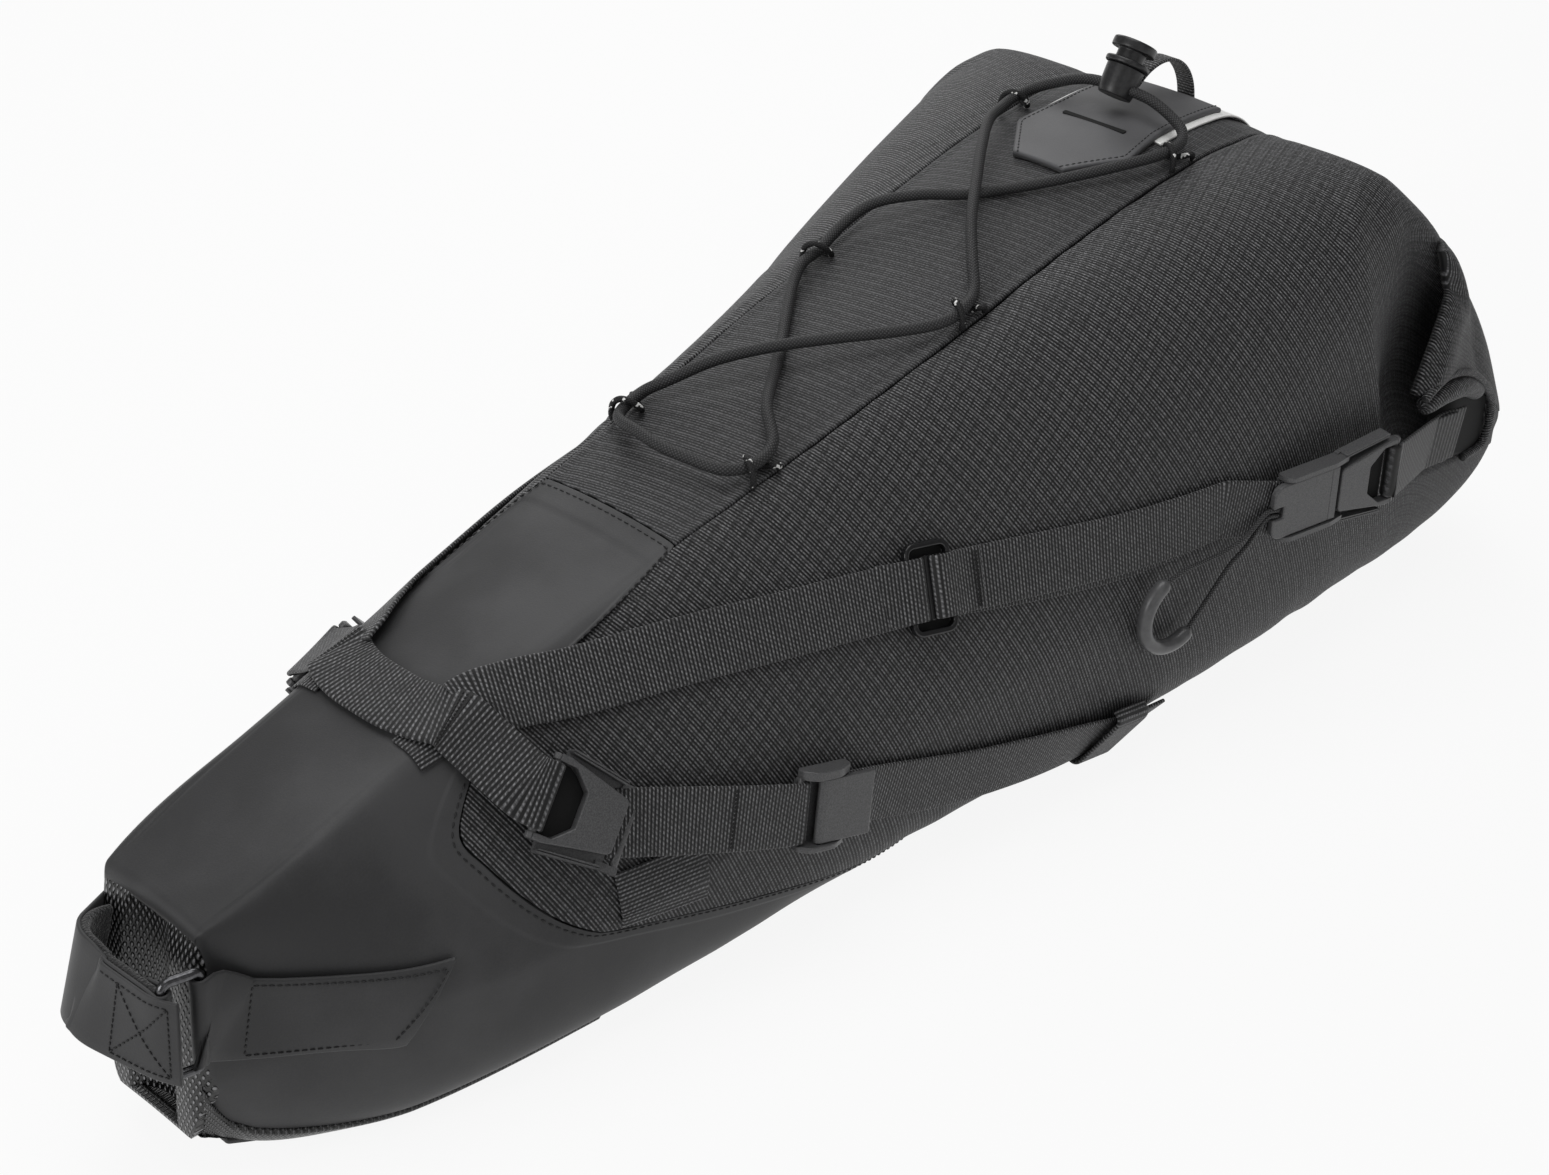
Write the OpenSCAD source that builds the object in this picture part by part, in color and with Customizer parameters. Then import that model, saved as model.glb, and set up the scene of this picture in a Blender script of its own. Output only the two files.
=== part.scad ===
// Bikepacking saddle bag: a tapered bag that hangs behind a seat post, with
// magnetic hook buckles, cam straps, compression straps, a laced shock cord
// and a rolled tail. Millimetres, +X to the tail, -Y to the rider's left, +Z up.

/* [Bag body] */
// Length from the nose lip to the mouth of the tail
bag_len = 655; // [600:5:700]
// Width of the belly at its widest, near the tail
bag_w = 262; // [240:2:290]
// Height of the body at its highest, near the tail
bag_h = 212; // [190:2:225]
// How far the nose leans forward from its top to the height of 100
nose_rake = 10; // [4:1:16]
// Distance from the nose back to the origin
nose_to_origin = 300; // [280:5:320]

/* [Cloth and webbing] */
// Thickness of the padded bag cloth
cloth_t = 2; // [1.4:0.1:2.6]
// Gap left at every seam between two panels
seam_gap = 0.5; // [0.3:0.1:0.8]
// Width of the strap webbing
web_w = 25; // [23:0.5:26]
// Thickness of the strap webbing
web_t = 1.6; // [1.2:0.1:2]
// Gap between a strap and the cloth it lies on
web_lift = 0.7; // [0.5:0.1:1.2]
// Thickness of the stiffener sheets inside the bag
sheet_t = 1.5; // [1:0.1:2]
// Width of the tape that binds the lower edge of the nose
binding_w = 12; // [8:1:16]

/* [Nose pad and seat-post strap] */
// Diameter of the seat post that the strap holds
post_d = 31.6; // [27.2:0.1:31.6]
// Width of the seat-post pad
pad_w = 49; // [46:1:52]
// Depth of the seat-post pad
pad_d = 18; // [14:1:22]
// Height of the seat-post pad
pad_h = 78; // [70:1:84]
// Width of the seat-post strap
grip_w = 34; // [30:1:38]
// Thickness of one layer of the seat-post strap
grip_t = 1.6; // [1.2:0.1:2]
// Half of the angle that the strap wraps round the post
grip_half_angle = 57; // [55:1:62]
// Wire diameter of the strap ring
ring_wire = 3; // [2.4:0.2:3.4]
// Distance between the two long bars of the strap ring
ring_pitch = 15; // [13:1:17]

/* [Hook buckles] */
// Thickness of the hook plate
hook_t = 4.2; // [3.6:0.2:5]
// Length of the hook plate from its webbing bar
hook_len = 30; // [27:1:33]
// Width of each arm and rail beside the webbing
arm_w = 2.6; // [2:0.2:3]
// Thickness of the catch plate
catch_t = 2.2; // [1.8:0.2:2.6]
// Diameter of the bar that carries the webbing
bar_d = 3; // [2.4:0.2:3.4]

/* [Levers and sliders] */
// Diameter of the pins that the levers turn on
pivot_d = 2.4; // [2:0.2:2.8]
// Length of the cam buckle
cam_len = 30; // [26:1:34]
// Thickness of the cam lever
lever_t = 2.4; // [2:0.2:3]
// Length of a slider along the strap
slider_len = 14; // [12:1:18]
// Thickness of a slider's bars
slider_t = 1.8; // [1.4:0.2:2.2]
// Width of the keeper loop along the strap
keeper_w = 22; // [18:1:26]

/* [Shock cord and cord lock] */
// Diameter of the shock cord
bungee_d = 4.6; // [4:0.1:4.8]
// Diameter of the cord in the lacing loops
loop_d = 3; // [2.4:0.2:3.2]
// Inner radius of a lacing loop
loop_r = 4; // [3.6:0.2:5]
// Diameter of the cord lock's barrel
lock_d = 16.4; // [15:0.2:18]
// Length of the cord lock's barrel with its collar
lock_len = 15.5; // [14.5:0.5:17]
// Travel of the cord lock's button
button_travel = 4; // [3:0.5:4]
// Diameter of the pull cords
pull_d = 2; // [1.6:0.2:2.2]
// Diameter of a pull cord's rubber grip
grip_tube_d = 6.4; // [5.6:0.2:7]

/* [Top patches] */
// Thickness of the light patch
patch_t = 1.6; // [1.2:0.1:2]
// Thickness of the reflective panel
reflector_t = 0.6; // [0.4:0.1:0.8]
// Length of the slot that takes a lamp's clip
slot_len = 32; // [26:1:36]
// Width of that slot
slot_w = 2.4; // [2:0.2:3]

/* [Hidden] */

$fn = 48;
cloth_grey = "#26272a";
coat_grey = "#3c3d40";
web_grey = "#333437";
buckle_grey = "#505254";

// ---- the body's surface ----
// One row per station: share of the length, seam half-width, seam height, crown of the
// top, belly half-width, belly height, floor height, and the powers of the superellipse
// quarters of the shoulder and of the lower corner (1 is an ellipse, 0.5 nearly a box).
shape_len = 655;
shape_w = 262;
shape_h = 212;
STATIONS = [
  [0.000, 24, 106, 2,  30, 66, 12, 0.45, 0.35],
  [0.045, 27, 115, 2,  47, 60,  4, 1.10, 0.40],
  [0.090, 28, 123, 2,  62, 56,  0, 1.50, 0.42],
  [0.150, 29, 133, 2,  74, 56,  0, 1.60, 0.45],
  [0.230, 31, 145, 2,  83, 58,  0, 1.60, 0.45],
  [0.320, 34, 158, 2,  90, 63,  0, 1.50, 0.46],
  [0.430, 38, 172, 3,  99, 68,  0, 1.45, 0.47],
  [0.540, 41, 187, 3, 111, 74,  0, 1.30, 0.48],
  [0.640, 43, 201, 4, 121, 80,  0, 1.05, 0.48],
  [0.735, 45, 211, 4, 127, 86,  0, 0.80, 0.48],
  [0.810, 46, 212, 4, 130, 88,  0, 0.55, 0.48],
  [0.855, 47, 205, 2, 131, 86,  0, 0.38, 0.48],
  [0.900, 47, 172, 1, 131, 78,  3, 0.36, 0.48],
  [0.945, 47, 128, 1, 130, 68,  8, 0.40, 0.50],
  [0.975, 47,  92, 1, 128, 58, 18, 0.45, 0.55],
  [1.000, 46,  62, 0, 124, 50, 38, 0.50, 0.60]];
last = len(STATIONS) - 1;
// Length of the nose over which the rake fades out, and the height where it is zero
rake_len = 120;
rake_z = 100;
// Sink of the lower corner's curve, which leaves the middle of the floor flat
floor_sink = 3;
step = 0.004;
pivot_gap = 0.05;
lever_wall = 2.2;
lever_wall_y = web_w / 2 + 0.5;
w_k = bag_w / shape_w;
h_k = bag_h / shape_h;

// A point given for the standard bag, moved with the bag's sizes
function fit(p) = [p[0] * bag_len / shape_len, p[1] * w_k, p[2] * h_k];
function unit(v) = v / norm(v);
function clamp(v, lo, hi) = min(max(v, lo), hi);
// Slope of the table at row i, for a smooth (Hermite) curve through the stations
function slope(i) = let(a = max(i - 1, 0), b = min(i + 1, last))
  (STATIONS[b] - STATIONS[a]) / (STATIONS[b][0] - STATIONS[a][0]);
function row_of(u, i = 0) = (i >= last - 1 || u < STATIONS[i + 1][0]) ? i : row_of(u, i + 1);
function station(u) = let(i = row_of(u), a = STATIONS[i], b = STATIONS[i + 1],
    h = b[0] - a[0], w = (u - a[0]) / h)
  (2 * w^3 - 3 * w^2 + 1) * a + (w^3 - 2 * w^2 + w) * h * slope(i)
  + (3 * w^2 - 2 * w^3) * b + (w^3 - w^2) * h * slope(i + 1);
// Unit superellipse quarter at an angle, as [across, along]
function quarter(angle, power) = let(s = max(sin(angle), 0), c = max(cos(angle), 0),
    r = 1 / pow(pow(s, 2 / power) + pow(c, 2 / power), power / 2)) [r * s, r * c];

// A point of the body. u runs 0 to 1 from nose to tail; t runs 0 to 3 from the middle of
// the top over the seam (1) and the belly (2) to the middle of the floor, on the left,
// and 0 to -3 on the right. off moves it out along the ray from the section's centre.
function skin(u, t, off = 0) = let(
    v = station(u), a = abs(t),
    ws = v[1] * w_k, zs = v[2] * h_k, wb = v[4] * w_k, zm = v[5] * h_k, zb = max(v[6], 0) * h_k,
    k1 = quarter(clamp(a - 1, 0, 1) * 90, v[7]),
    k2 = quarter(clamp(a - 2, 0, 1) * 90, v[8]),
    y = a <= 1 ? ws * a : a <= 2 ? ws + (wb - ws) * k1[0] : wb * k2[1],
    z = a <= 1 ? zs + v[3] * (1 - a^2) : a <= 2 ? zm + (zs - zm) * k1[1]
      : max(zb, zm - (zm - zb + floor_sink) * k2[0]),
    d = unit([y, z - (zs + zb) / 2]),
    y2 = y + off * d[0], z2 = z + off * d[1],
    x = bag_len * u - nose_rake * (1 - z2 / rake_z) * clamp(1 - u * bag_len / rake_len, 0, 1))
  [x, t >= 0 ? -y2 : y2, z2];

// Outward normal, and the frame of a piece at (u, t) that points towards (u + du, t + dt)
function out(u, t) = unit(cross(skin(u, t + step) - skin(u, t - step),
                                skin(u + step, t) - skin(u - step, t)));
function along(u, t, du, dt) = let(n = out(u, t),
    d = skin(u + du, t + dt) - skin(u - du, t - dt)) unit(d - (d * n) * n);
function frame_at(u, t, du, dt, off) = let(n = out(u, t), a = along(u, t, du, dt),
    b = cross(n, a), p = skin(u, t) + off * n)
  [[a[0], b[0], n[0], p[0]], [a[1], b[1], n[1], p[1]], [a[2], b[2], n[2], p[2]], [0, 0, 0, 1]];
function local(m, p) = [for (i = [0:2]) m[i][0] * p[0] + m[i][1] * p[1] + m[i][2] * p[2] + m[i][3]];

// ---- shared builders ----
module in_frame() translate([-nose_to_origin, 0, 0]) children();
module on_right() mirror([0, 1, 0]) children();

// Hole for a lever's pin, right across a buckle
module pin_hole(x, z) translate([x, web_w, z]) rotate([90, 0, 0])
  cylinder(d = pivot_d + 2 * pivot_gap, h = 2 * web_w);

// Closed solid between two grids of points with the same rows and columns
module sheet_between(top, low) {
  r = len(top);
  c = len(top[0]);
  n = r * c;
  function at(i, j) = i * c + j;
  quads = [for (i = [0:r - 2], j = [0:c - 2]) each [
      [at(i, j), at(i + 1, j), at(i + 1, j + 1)], [at(i, j), at(i + 1, j + 1), at(i, j + 1)]]];
  edge = concat([for (j = [0:c - 2]) at(0, j)], [for (i = [0:r - 2]) at(i, c - 1)],
                [for (j = [c - 1:-1:1]) at(r - 1, j)], [for (i = [r - 1:-1:1]) at(i, 0)]);
  m = len(edge);
  rim = [for (k = [0:m - 1]) let(a = edge[k], b = edge[(k + 1) % m]) each [
      [a, b, b + n], [a, b + n, a + n]]];
  polyhedron(points = concat([for (g = top) each g], [for (g = low) each g]),
    faces = concat(quads, [for (q = quads) [q[2] + n, q[1] + n, q[0] + n]], rim));
}

// A patch of the skin. cols are t values, and from(t) to to(t) are its ends along u.
// ease above 1 packs the rows closer towards the tail, where the skin bends most.
module skin_patch(cols, from, to, rows, off_out, off_in, ease = 1) {
  function u_at(k, t) = from(t) + (to(t) - from(t)) * (1 - (1 - k / rows)^ease);
  sheet_between([for (k = [0:rows]) [for (t = cols) skin(u_at(k, t), t, off_out)]],
                [for (k = [0:rows]) [for (t = cols) skin(u_at(k, t), t, off_in)]]);
}

// A flat band with edges pa and pb and thickness th along the normals nn. The edges are
// swapped where the band would come out inside out.
module band(pa, pb, nn, th) {
  right_way = cross(nn[0], pa[1] - pa[0]) * (pa[0] - pb[0]) > 0;
  a = right_way ? pa : pb;
  b = right_way ? pb : pa;
  sheet_between([for (i = [0:len(a) - 1]) [a[i] + nn[i] * th, b[i] + nn[i] * th]],
                [for (i = [0:len(a) - 1]) [a[i], b[i]]]);
}

// Route points [u, t], each stretch cut into k steps
function fine(route, k) = concat([for (i = [0:len(route) - 2], j = [0:k - 1])
    route[i] + (route[i + 1] - route[i]) * j / k], [route[len(route) - 1]]);

// Webbing of width w laid on the skin along a route
module skin_strap(route, w, th, lift, cuts = 3) {
  pts = fine(route, cuts);
  n = len(pts);
  nn = [for (p = pts) out(p[0], p[1])];
  cc = [for (i = [0:n - 1]) skin(pts[i][0], pts[i][1]) + nn[i] * lift];
  side = [for (i = [0:n - 1]) unit(cross(nn[i], cc[min(i + 1, n - 1)] - cc[max(i - 1, 0)]))];
  band([for (i = [0:n - 1]) cc[i] + side[i] * w / 2],
       [for (i = [0:n - 1]) cc[i] - side[i] * w / 2], nn, th);
}

// Round cord along route points, with a given number of sides
module tube(route, r, sides) {
  n = len(route);
  dir = [for (i = [0:n - 1]) unit(route[min(i + 1, n - 1)] - route[max(i - 1, 0)])];
  // each ring's first direction is the last one's, turned as little as the route allows
  function carry(i) = i == 0
    ? unit(cross(dir[0], abs(dir[0][2]) < 0.9 ? [0, 0, 1] : [1, 0, 0]))
    : let(p = carry(i - 1)) unit(p - (p * dir[i]) * dir[i]);
  rings = [for (i = [0:n - 1]) let(a = carry(i), b = cross(dir[i], a))
    [for (k = [0:sides - 1]) route[i] + r * (cos(360 * k / sides) * a + sin(360 * k / sides) * b)]];
  polyhedron(points = [for (g = rings) each g],
    faces = concat([[for (k = [0:sides - 1]) k]],
      [for (i = [0:n - 2], k = [0:sides - 1]) let(a = i * sides + k, b = i * sides + (k + 1) % sides)
        [a, a + sides, b + sides, b]],
      [[for (k = [sides - 1:-1:0]) (n - 1) * sides + k]]));
}

// ---- panels ----
// Rear edge of the coated hood: share of the length at each t
HOOD_EDGE = [[0, 0.318], [1, 0.318], [1.05, 0.27], [1.12, 0.18], [1.37, 0.136], [1.6, 0.141],
             [1.85, 0.160], [2.0, 0.187], [2.12, 0.235], [2.27, 0.30], [2.45, 0.40], [2.56, 0.48]];
// Where the coated floor starts on the lower corner
t_floor = 2.56;
lip_u = -0.008;
mouth_u = 0.988;
side_arc = 95;
t_gap = seam_gap / side_arc;
u_gap = seam_gap / bag_len;
SIDE_COLS = [1.05, 1.12, 1.22, 1.37, 1.5, 1.6, 1.72, 1.85, 2.0, 2.12, 2.27, 2.36, 2.45];
function hood_edge(t) = lookup(abs(t), HOOD_EDGE);
function mirrored(list) = concat([for (i = [len(list) - 1:-1:0]) -list[i]], list);

module hood_panel() {
  cols = mirrored(concat([0.35, 0.7, 1], SIDE_COLS, [t_floor - t_gap]));
  color(coat_grey) in_frame() difference() {
    skin_patch(cols, function(t) lip_u, function(t) hood_edge(t) - u_gap, 14, 0, -cloth_t);
    post_way();
  }
}

module base_panel() {
  half = [for (k = [0:5]) t_floor + t_gap + (3 - t_floor - t_gap) * k / 5];
  cols = concat([for (k = [0:4]) half[k]], [3], [for (k = [4:-1:0]) -half[k]]);
  color(coat_grey) in_frame() difference() {
    skin_patch(cols, function(t) lip_u, function(t) mouth_u, 26, 0, -cloth_t, 1.5);
    post_way();
  }
}

module top_panel() {
  cols = mirrored([0.25, 0.5, 0.75, 1 - 2 * t_gap]);
  color(cloth_grey) in_frame()
    skin_patch(cols, function(t) hood_edge(0) + u_gap, function(t) mouth_u, 26, 0, -cloth_t, 1.5);
}

module side_panel() {
  cols = concat([1 + t_gap], SIDE_COLS, [t_floor - t_gap]);
  color(cloth_grey)
    skin_patch(cols, function(t) hood_edge(t) + u_gap, function(t) mouth_u, 24, 0, -cloth_t, 1.7);
}
module side_panel_left() in_frame() side_panel();
module side_panel_right() in_frame() on_right() side_panel();

// Plastic sheet that keeps the floor flat, as wide as the flat part of the floor
stiff_from = 0.10;
stiff_to = 0.80;
stiff_share = 0.5;
module base_stiffener() {
  n = 12;
  us = [for (k = [0:n]) stiff_from + (stiff_to - stiff_from) * k / n];
  edge = [for (u = us) [bag_len * u, station(u)[4] * w_k * stiff_share]];
  color("#18191a") in_frame() translate([0, 0, cloth_t + seam_gap]) linear_extrude(sheet_t)
    polygon(concat(edge, [for (k = [n:-1:0]) [edge[k][0], -edge[k][1]]]));
}

// Plastic sheet bent round the inside of the nose
module nose_stiffener() {
  cols = mirrored([0.5, 1, 1.1, 1.3, 1.6, 1.9, 2.15]);
  color("#18191a") in_frame()
    skin_patch(cols, function(t) 0.045, function(t) 0.205, 6,
               -cloth_t - seam_gap - 0.6, -cloth_t - seam_gap - 0.6 - sheet_t);
}

// Tape along the lower edge of the nose, one length on each side, clear of the ground
t_binding = 2.46;
module binding_side() {
  t_half = binding_w / side_arc / 2;
  skin_patch([for (k = [-2:2]) t_binding + t_half * k / 2], function(t) lip_u,
             function(t) 0.2, 8, web_lift + web_t, web_lift);
}
module edge_binding() color(web_grey) in_frame() {
  binding_side();
  on_right() binding_side();
}

// ---- rolled tail ----
roll_x = bag_len - 13;
roll_z = 50 * h_k;
roll_r = 18;
roll_half = 108 * w_k;
mouth_strip = [12, 2.4];
strip_gap = 0.3;
module tail_roll() color(cloth_grey) in_frame() translate([roll_x, roll_half, roll_z])
  rotate([90, 0, 0]) difference() {
    cylinder(r = roll_r, h = 2 * roll_half);
    translate([-mouth_strip[0] / 2 - strip_gap, -mouth_strip[1] / 2 - strip_gap, -1])
      cube([mouth_strip[0] + 2 * strip_gap, mouth_strip[1] + 2 * strip_gap, 2 * roll_half + 2]);
  }
// Strip that the mouth is rolled round
module mouth_stiffener() color("#18191a") in_frame()
  translate([roll_x - mouth_strip[0] / 2, -roll_half, roll_z - mouth_strip[1] / 2])
    cube([mouth_strip[0], 2 * roll_half, mouth_strip[1]]);

// ---- patches on the top ----
// Half-width of the light patch at a share of the length: a hexagon's nose, then parallel
PATCH_EDGE = [[0.695, 13], [0.73, 29], [0.765, 26], [0.835, 26]];
reflector_half = 33;
// Gap between the layers that lie on the top
cover_gap = 0.5;
patch_low = cover_gap + reflector_t + cover_gap;
module top_cover(from, to, rows, half, low, thick) {
  function col(u, v) = v * half(u) / (station(u)[1] * w_k);
  us = [for (k = [0:rows]) from + (to - from) * k / rows];
  vs = [for (k = [-4:4]) k / 4];
  sheet_between([for (u = us) [for (v = vs) skin(u, col(u, v), low + thick)]],
                [for (u = us) [for (v = vs) skin(u, col(u, v), low)]]);
}
module reflective_panel() color("#e8e8e6") in_frame()
  top_cover(0.762, 0.90, 10, function(u) reflector_half, cover_gap, reflector_t);
slot_u = 0.752;
module light_patch() color(coat_grey) in_frame() difference() {
  top_cover(PATCH_EDGE[0][0], PATCH_EDGE[3][0], 8, function(u) lookup(u, PATCH_EDGE),
            patch_low, patch_t);
  translate([bag_len * slot_u - slot_w / 2, -slot_len / 2, skin(slot_u, 0)[2] - 5])
    cube([slot_w, slot_len, 12]);
}

// ---- nose pad and seat-post strap ----
// The nose frame leans with the rake: its z axis is parallel to the seat post's axis
rake_deg = atan(nose_rake / rake_z);
post_r = post_d / 2;
post_x = -15.5;
pad_front = -6;
pad_top = -4;
pad_corner = 9;
grip_low = -38;
grip_gap = 0.3;
module at_nose() translate([0, 0, rake_z * h_k]) rotate([0, rake_deg, 0]) children();

// Room for the seat post above and below the pad: the lips of the cloth give way to it
post_room = 0.7;
module post_way() at_nose() translate([post_x, 0, -1.2 * rake_z * h_k])
  cylinder(r = post_r + post_room, h = 2 * rake_z * h_k);

module seatpost_pad() color("#1a1a1b") in_frame() at_nose() difference() {
  translate([pad_front, 0, pad_top - pad_h / 2]) rotate([90, 0, 90]) linear_extrude(pad_d)
    hull() for (i = [-1, 1], j = [-1, 1])
      translate([i * (pad_w / 2 - pad_corner), j * (pad_h / 2 - pad_corner)])
        circle(r = pad_corner);
  translate([post_x, 0, pad_top - pad_h - 5]) cylinder(r = post_r, h = pad_h + 10);
}

// Wall of a strap that wraps the front of the post between two radii
module wrap(r_in, r_out) intersection() {
  difference() {
    cylinder(r = r_out, h = grip_w);
    translate([0, 0, -1]) cylinder(r = r_in, h = grip_w + 2);
  }
  reach = 3 * r_out;
  translate([0, 0, -1]) linear_extrude(grip_w + 2) polygon([[0, 0],
    [-reach * cos(grip_half_angle), -reach * sin(grip_half_angle)], [-reach, 0],
    [-reach * cos(grip_half_angle), reach * sin(grip_half_angle)]]);
}
// Straight wall in plan from a to b, thickness th to the right of the way it runs
module plan_wall(a, b, th) {
  d = unit(b - a);
  n = [d[1], -d[0]] * th;
  linear_extrude(grip_w) polygon([a, b, b + n, a + n]);
}
function on_wrap(r) = [-r * cos(grip_half_angle), -r * sin(grip_half_angle)];
// Places of the ring's two long bars, from the post's axis
ring_front = [-7.5, -(pad_w / 2 + 8.5)];
grip_end = [17.6, -(pad_w / 2 + 7.6)];
ring_rear = ring_front + [ring_pitch, -0.6];
eye_r = ring_wire / 2 + 0.3;

// Inner layer with the hook-and-loop pile: it touches the post
module grip_lining() color("#141414") in_frame() at_nose()
  translate([post_x, 0, grip_low]) wrap(post_r, post_r + grip_t);

// Outer layer: round the front bar of the ring, round the post, and on to the right side
module grip_strap() color(coat_grey) in_frame() at_nose() translate([post_x, 0, grip_low]) {
  r0 = post_r + grip_t + grip_gap;
  a = on_wrap(r0);
  eye_edge = ring_front + [-eye_r, 1];
  wrap(r0, r0 + grip_t);
  plan_wall(a, eye_edge, grip_t);
  mirror([0, 1, 0]) plan_wall(a, grip_end, grip_t);
  translate(ring_front) difference() {
    cylinder(r = eye_r + grip_t, h = grip_w);
    translate([0, 0, -1]) cylinder(r = eye_r, h = grip_w + 2);
  }
}

module strap_ring() color("#8c8d8f") in_frame() at_nose() translate([post_x, 0, grip_low]) {
  over = ring_wire / 2 + 0.8;
  for (p = [ring_front, ring_rear]) translate([p[0], p[1], -over])
    cylinder(d = ring_wire, h = grip_w + 2 * over);
  for (z = [-over, grip_w + over]) hull() for (p = [ring_front, ring_rear])
    translate([p[0], p[1], z]) sphere(d = ring_wire, $fn = 24);
}

// Patch sewn on the nose. The left one runs forward to an eye round the ring's rear bar.
PATCH_ROUTE = [[0.006, 1.90], [0.03, 1.93], [0.06, 1.97], [0.092, 2.01]];
function nose_point(p) = let(c = cos(rake_deg), s = sin(rake_deg),
    q = [p[0] + post_x, p[1], p[2] + grip_low])
  [c * q[0] + s * q[2], q[1], c * q[2] - s * q[0] + rake_z * h_k];
module strap_patch_left() color(coat_grey) in_frame() {
  m = frame_at(0.006, 1.90, 0.01, 0.012, web_lift);
  rear = ring_rear + [eye_r, -0.4];
  skin_strap(PATCH_ROUTE, grip_w, grip_t, web_lift);
  // link from the patch's front edge to the eye
  band([local(m, [0.2, grip_w / 2, 0]), nose_point([rear[0], rear[1], grip_w])],
       [local(m, [0.2, -grip_w / 2, 0]), nose_point([rear[0], rear[1], 0])],
       [[0, -1, 0], [0, -1, 0]], grip_t);
  at_nose() translate([post_x + ring_rear[0], ring_rear[1], grip_low]) difference() {
    cylinder(r = eye_r + grip_t, h = grip_w);
    translate([0, 0, -1]) cylinder(r = eye_r, h = grip_w + 2);
  }
}
module strap_patch_right() color(coat_grey) in_frame() on_right()
  skin_strap(PATCH_ROUTE, grip_w, grip_t, web_lift);

// ---- hook buckles ----
// Local frame: x along the strap, y across it, z out. The hook's webbing bar is at x = 0.
plate_w = web_w + 0.8 + 2 * arm_w;
bar_z = catch_t + hook_t / 2 + 0.4;
eye_in = bar_d / 2 + 0.3;
web_slot = web_w / 2 + 0.4;
notch = 8;
hook_end_half = 10;
seat_from = 4;
seat_half = plate_w / 2 + 3.5;
seat_end_half = plate_w / 2 + 0.2;
side_rail = 2;
catch_bar_x = hook_len + 4.6;
module hook_plate() {
  arm_r = hook_t / 2;
  half = plate_w / 2;
  translate([0, 0, bar_z - arm_r]) linear_extrude(hook_t) polygon([
    [0, half], [4, half], [hook_len, hook_end_half], [hook_len, -hook_end_half], [4, -half],
    [0, -half], [0, -web_slot], [notch - 1, -web_slot], [notch + 6, -web_slot / 2],
    [notch + 6, web_slot / 2], [notch - 1, web_slot], [0, web_slot]]);
  for (i = [-1, 1]) translate([0, i * (web_slot + arm_w / 2) + arm_w / 2, bar_z])
    rotate([90, 0, 0]) cylinder(r = arm_r, h = arm_w);
  translate([0, web_slot, bar_z]) rotate([90, 0, 0]) cylinder(d = bar_d, h = 2 * web_slot);
}
// Plate that the hook lies on, with a rail along each slanting side
module catch_seat() {
  to = hook_len - 2;
  linear_extrude(catch_t) polygon([[seat_from, seat_half], [hook_len, seat_end_half],
    [hook_len, -seat_end_half], [seat_from, -seat_half]]);
  for (i = [-1, 1]) linear_extrude(bar_z + 1) polygon([
    [seat_from, i * seat_half], [to, i * (seat_end_half + 0.4)],
    [to, i * (seat_end_half + 0.4 - side_rail)], [seat_from, i * (seat_half - side_rail)]]);
}
module catch_plate() {
  catch_seat();
  for (i = [-1, 1]) translate([hook_len - 3, i > 0 ? web_slot : -seat_end_half, 0])
    cube([catch_bar_x - hook_len + 3 + bar_d / 2, seat_end_half - web_slot, bar_d]);
  translate([catch_bar_x, web_slot + 0.1, bar_d / 2]) rotate([90, 0, 0])
    cylinder(d = bar_d, h = 2 * web_slot + 0.2);
}
// Sewn eye of webbing round a bar, with the bar's centre at height z
module web_eye(z, w = web_w - 0.6) translate([0, w / 2, z]) rotate([90, 0, 0]) difference() {
  cylinder(r = eye_in + web_t, h = w);
  translate([0, 0, -1]) cylinder(r = eye_in, h = w + 2);
}

// Rail buckle: its bar lies over RAIL and the catch points down the side
RAIL = [0.180, 1.44, 0.0106, 0.10];
buckle_lift = 2.8;
function rail_m() = frame_at(RAIL[0], RAIL[1], RAIL[2], RAIL[3], buckle_lift);
module rail_hook() color(buckle_grey) multmatrix(rail_m()) hook_plate();
module rail_catch() color(buckle_grey) multmatrix(rail_m()) catch_plate();
module rail_hook_left() in_frame() rail_hook();
module rail_hook_right() in_frame() on_right() rail_hook();
module rail_catch_left() in_frame() rail_catch();
module rail_catch_right() in_frame() on_right() rail_catch();

// Tail buckle: [u, t, height] of its webbing bar and of the lever's front end. The strap
// pulls the folded corner of the tail, so the bar stands further off than the lever does.
TAIL = [0.787, 1.935, 18.2];
TAIL_FRONT = [0.687, 1.912, 7];
function tail_m() = let(n0 = out(TAIL[0], TAIL[1]), p = skin(TAIL[0], TAIL[1]) + n0 * TAIL[2],
    q = skin(TAIL_FRONT[0], TAIL_FRONT[1]) + out(TAIL_FRONT[0], TAIL_FRONT[1]) * TAIL_FRONT[2],
    a = unit(q - p), n = unit(n0 - (n0 * a) * a), b = cross(n, a), c = p - bar_z * n)
  [[a[0], b[0], n[0], c[0]], [a[1], b[1], n[1], c[1]], [a[2], b[2], n[2], c[2]], [0, 0, 0, 1]];
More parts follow.
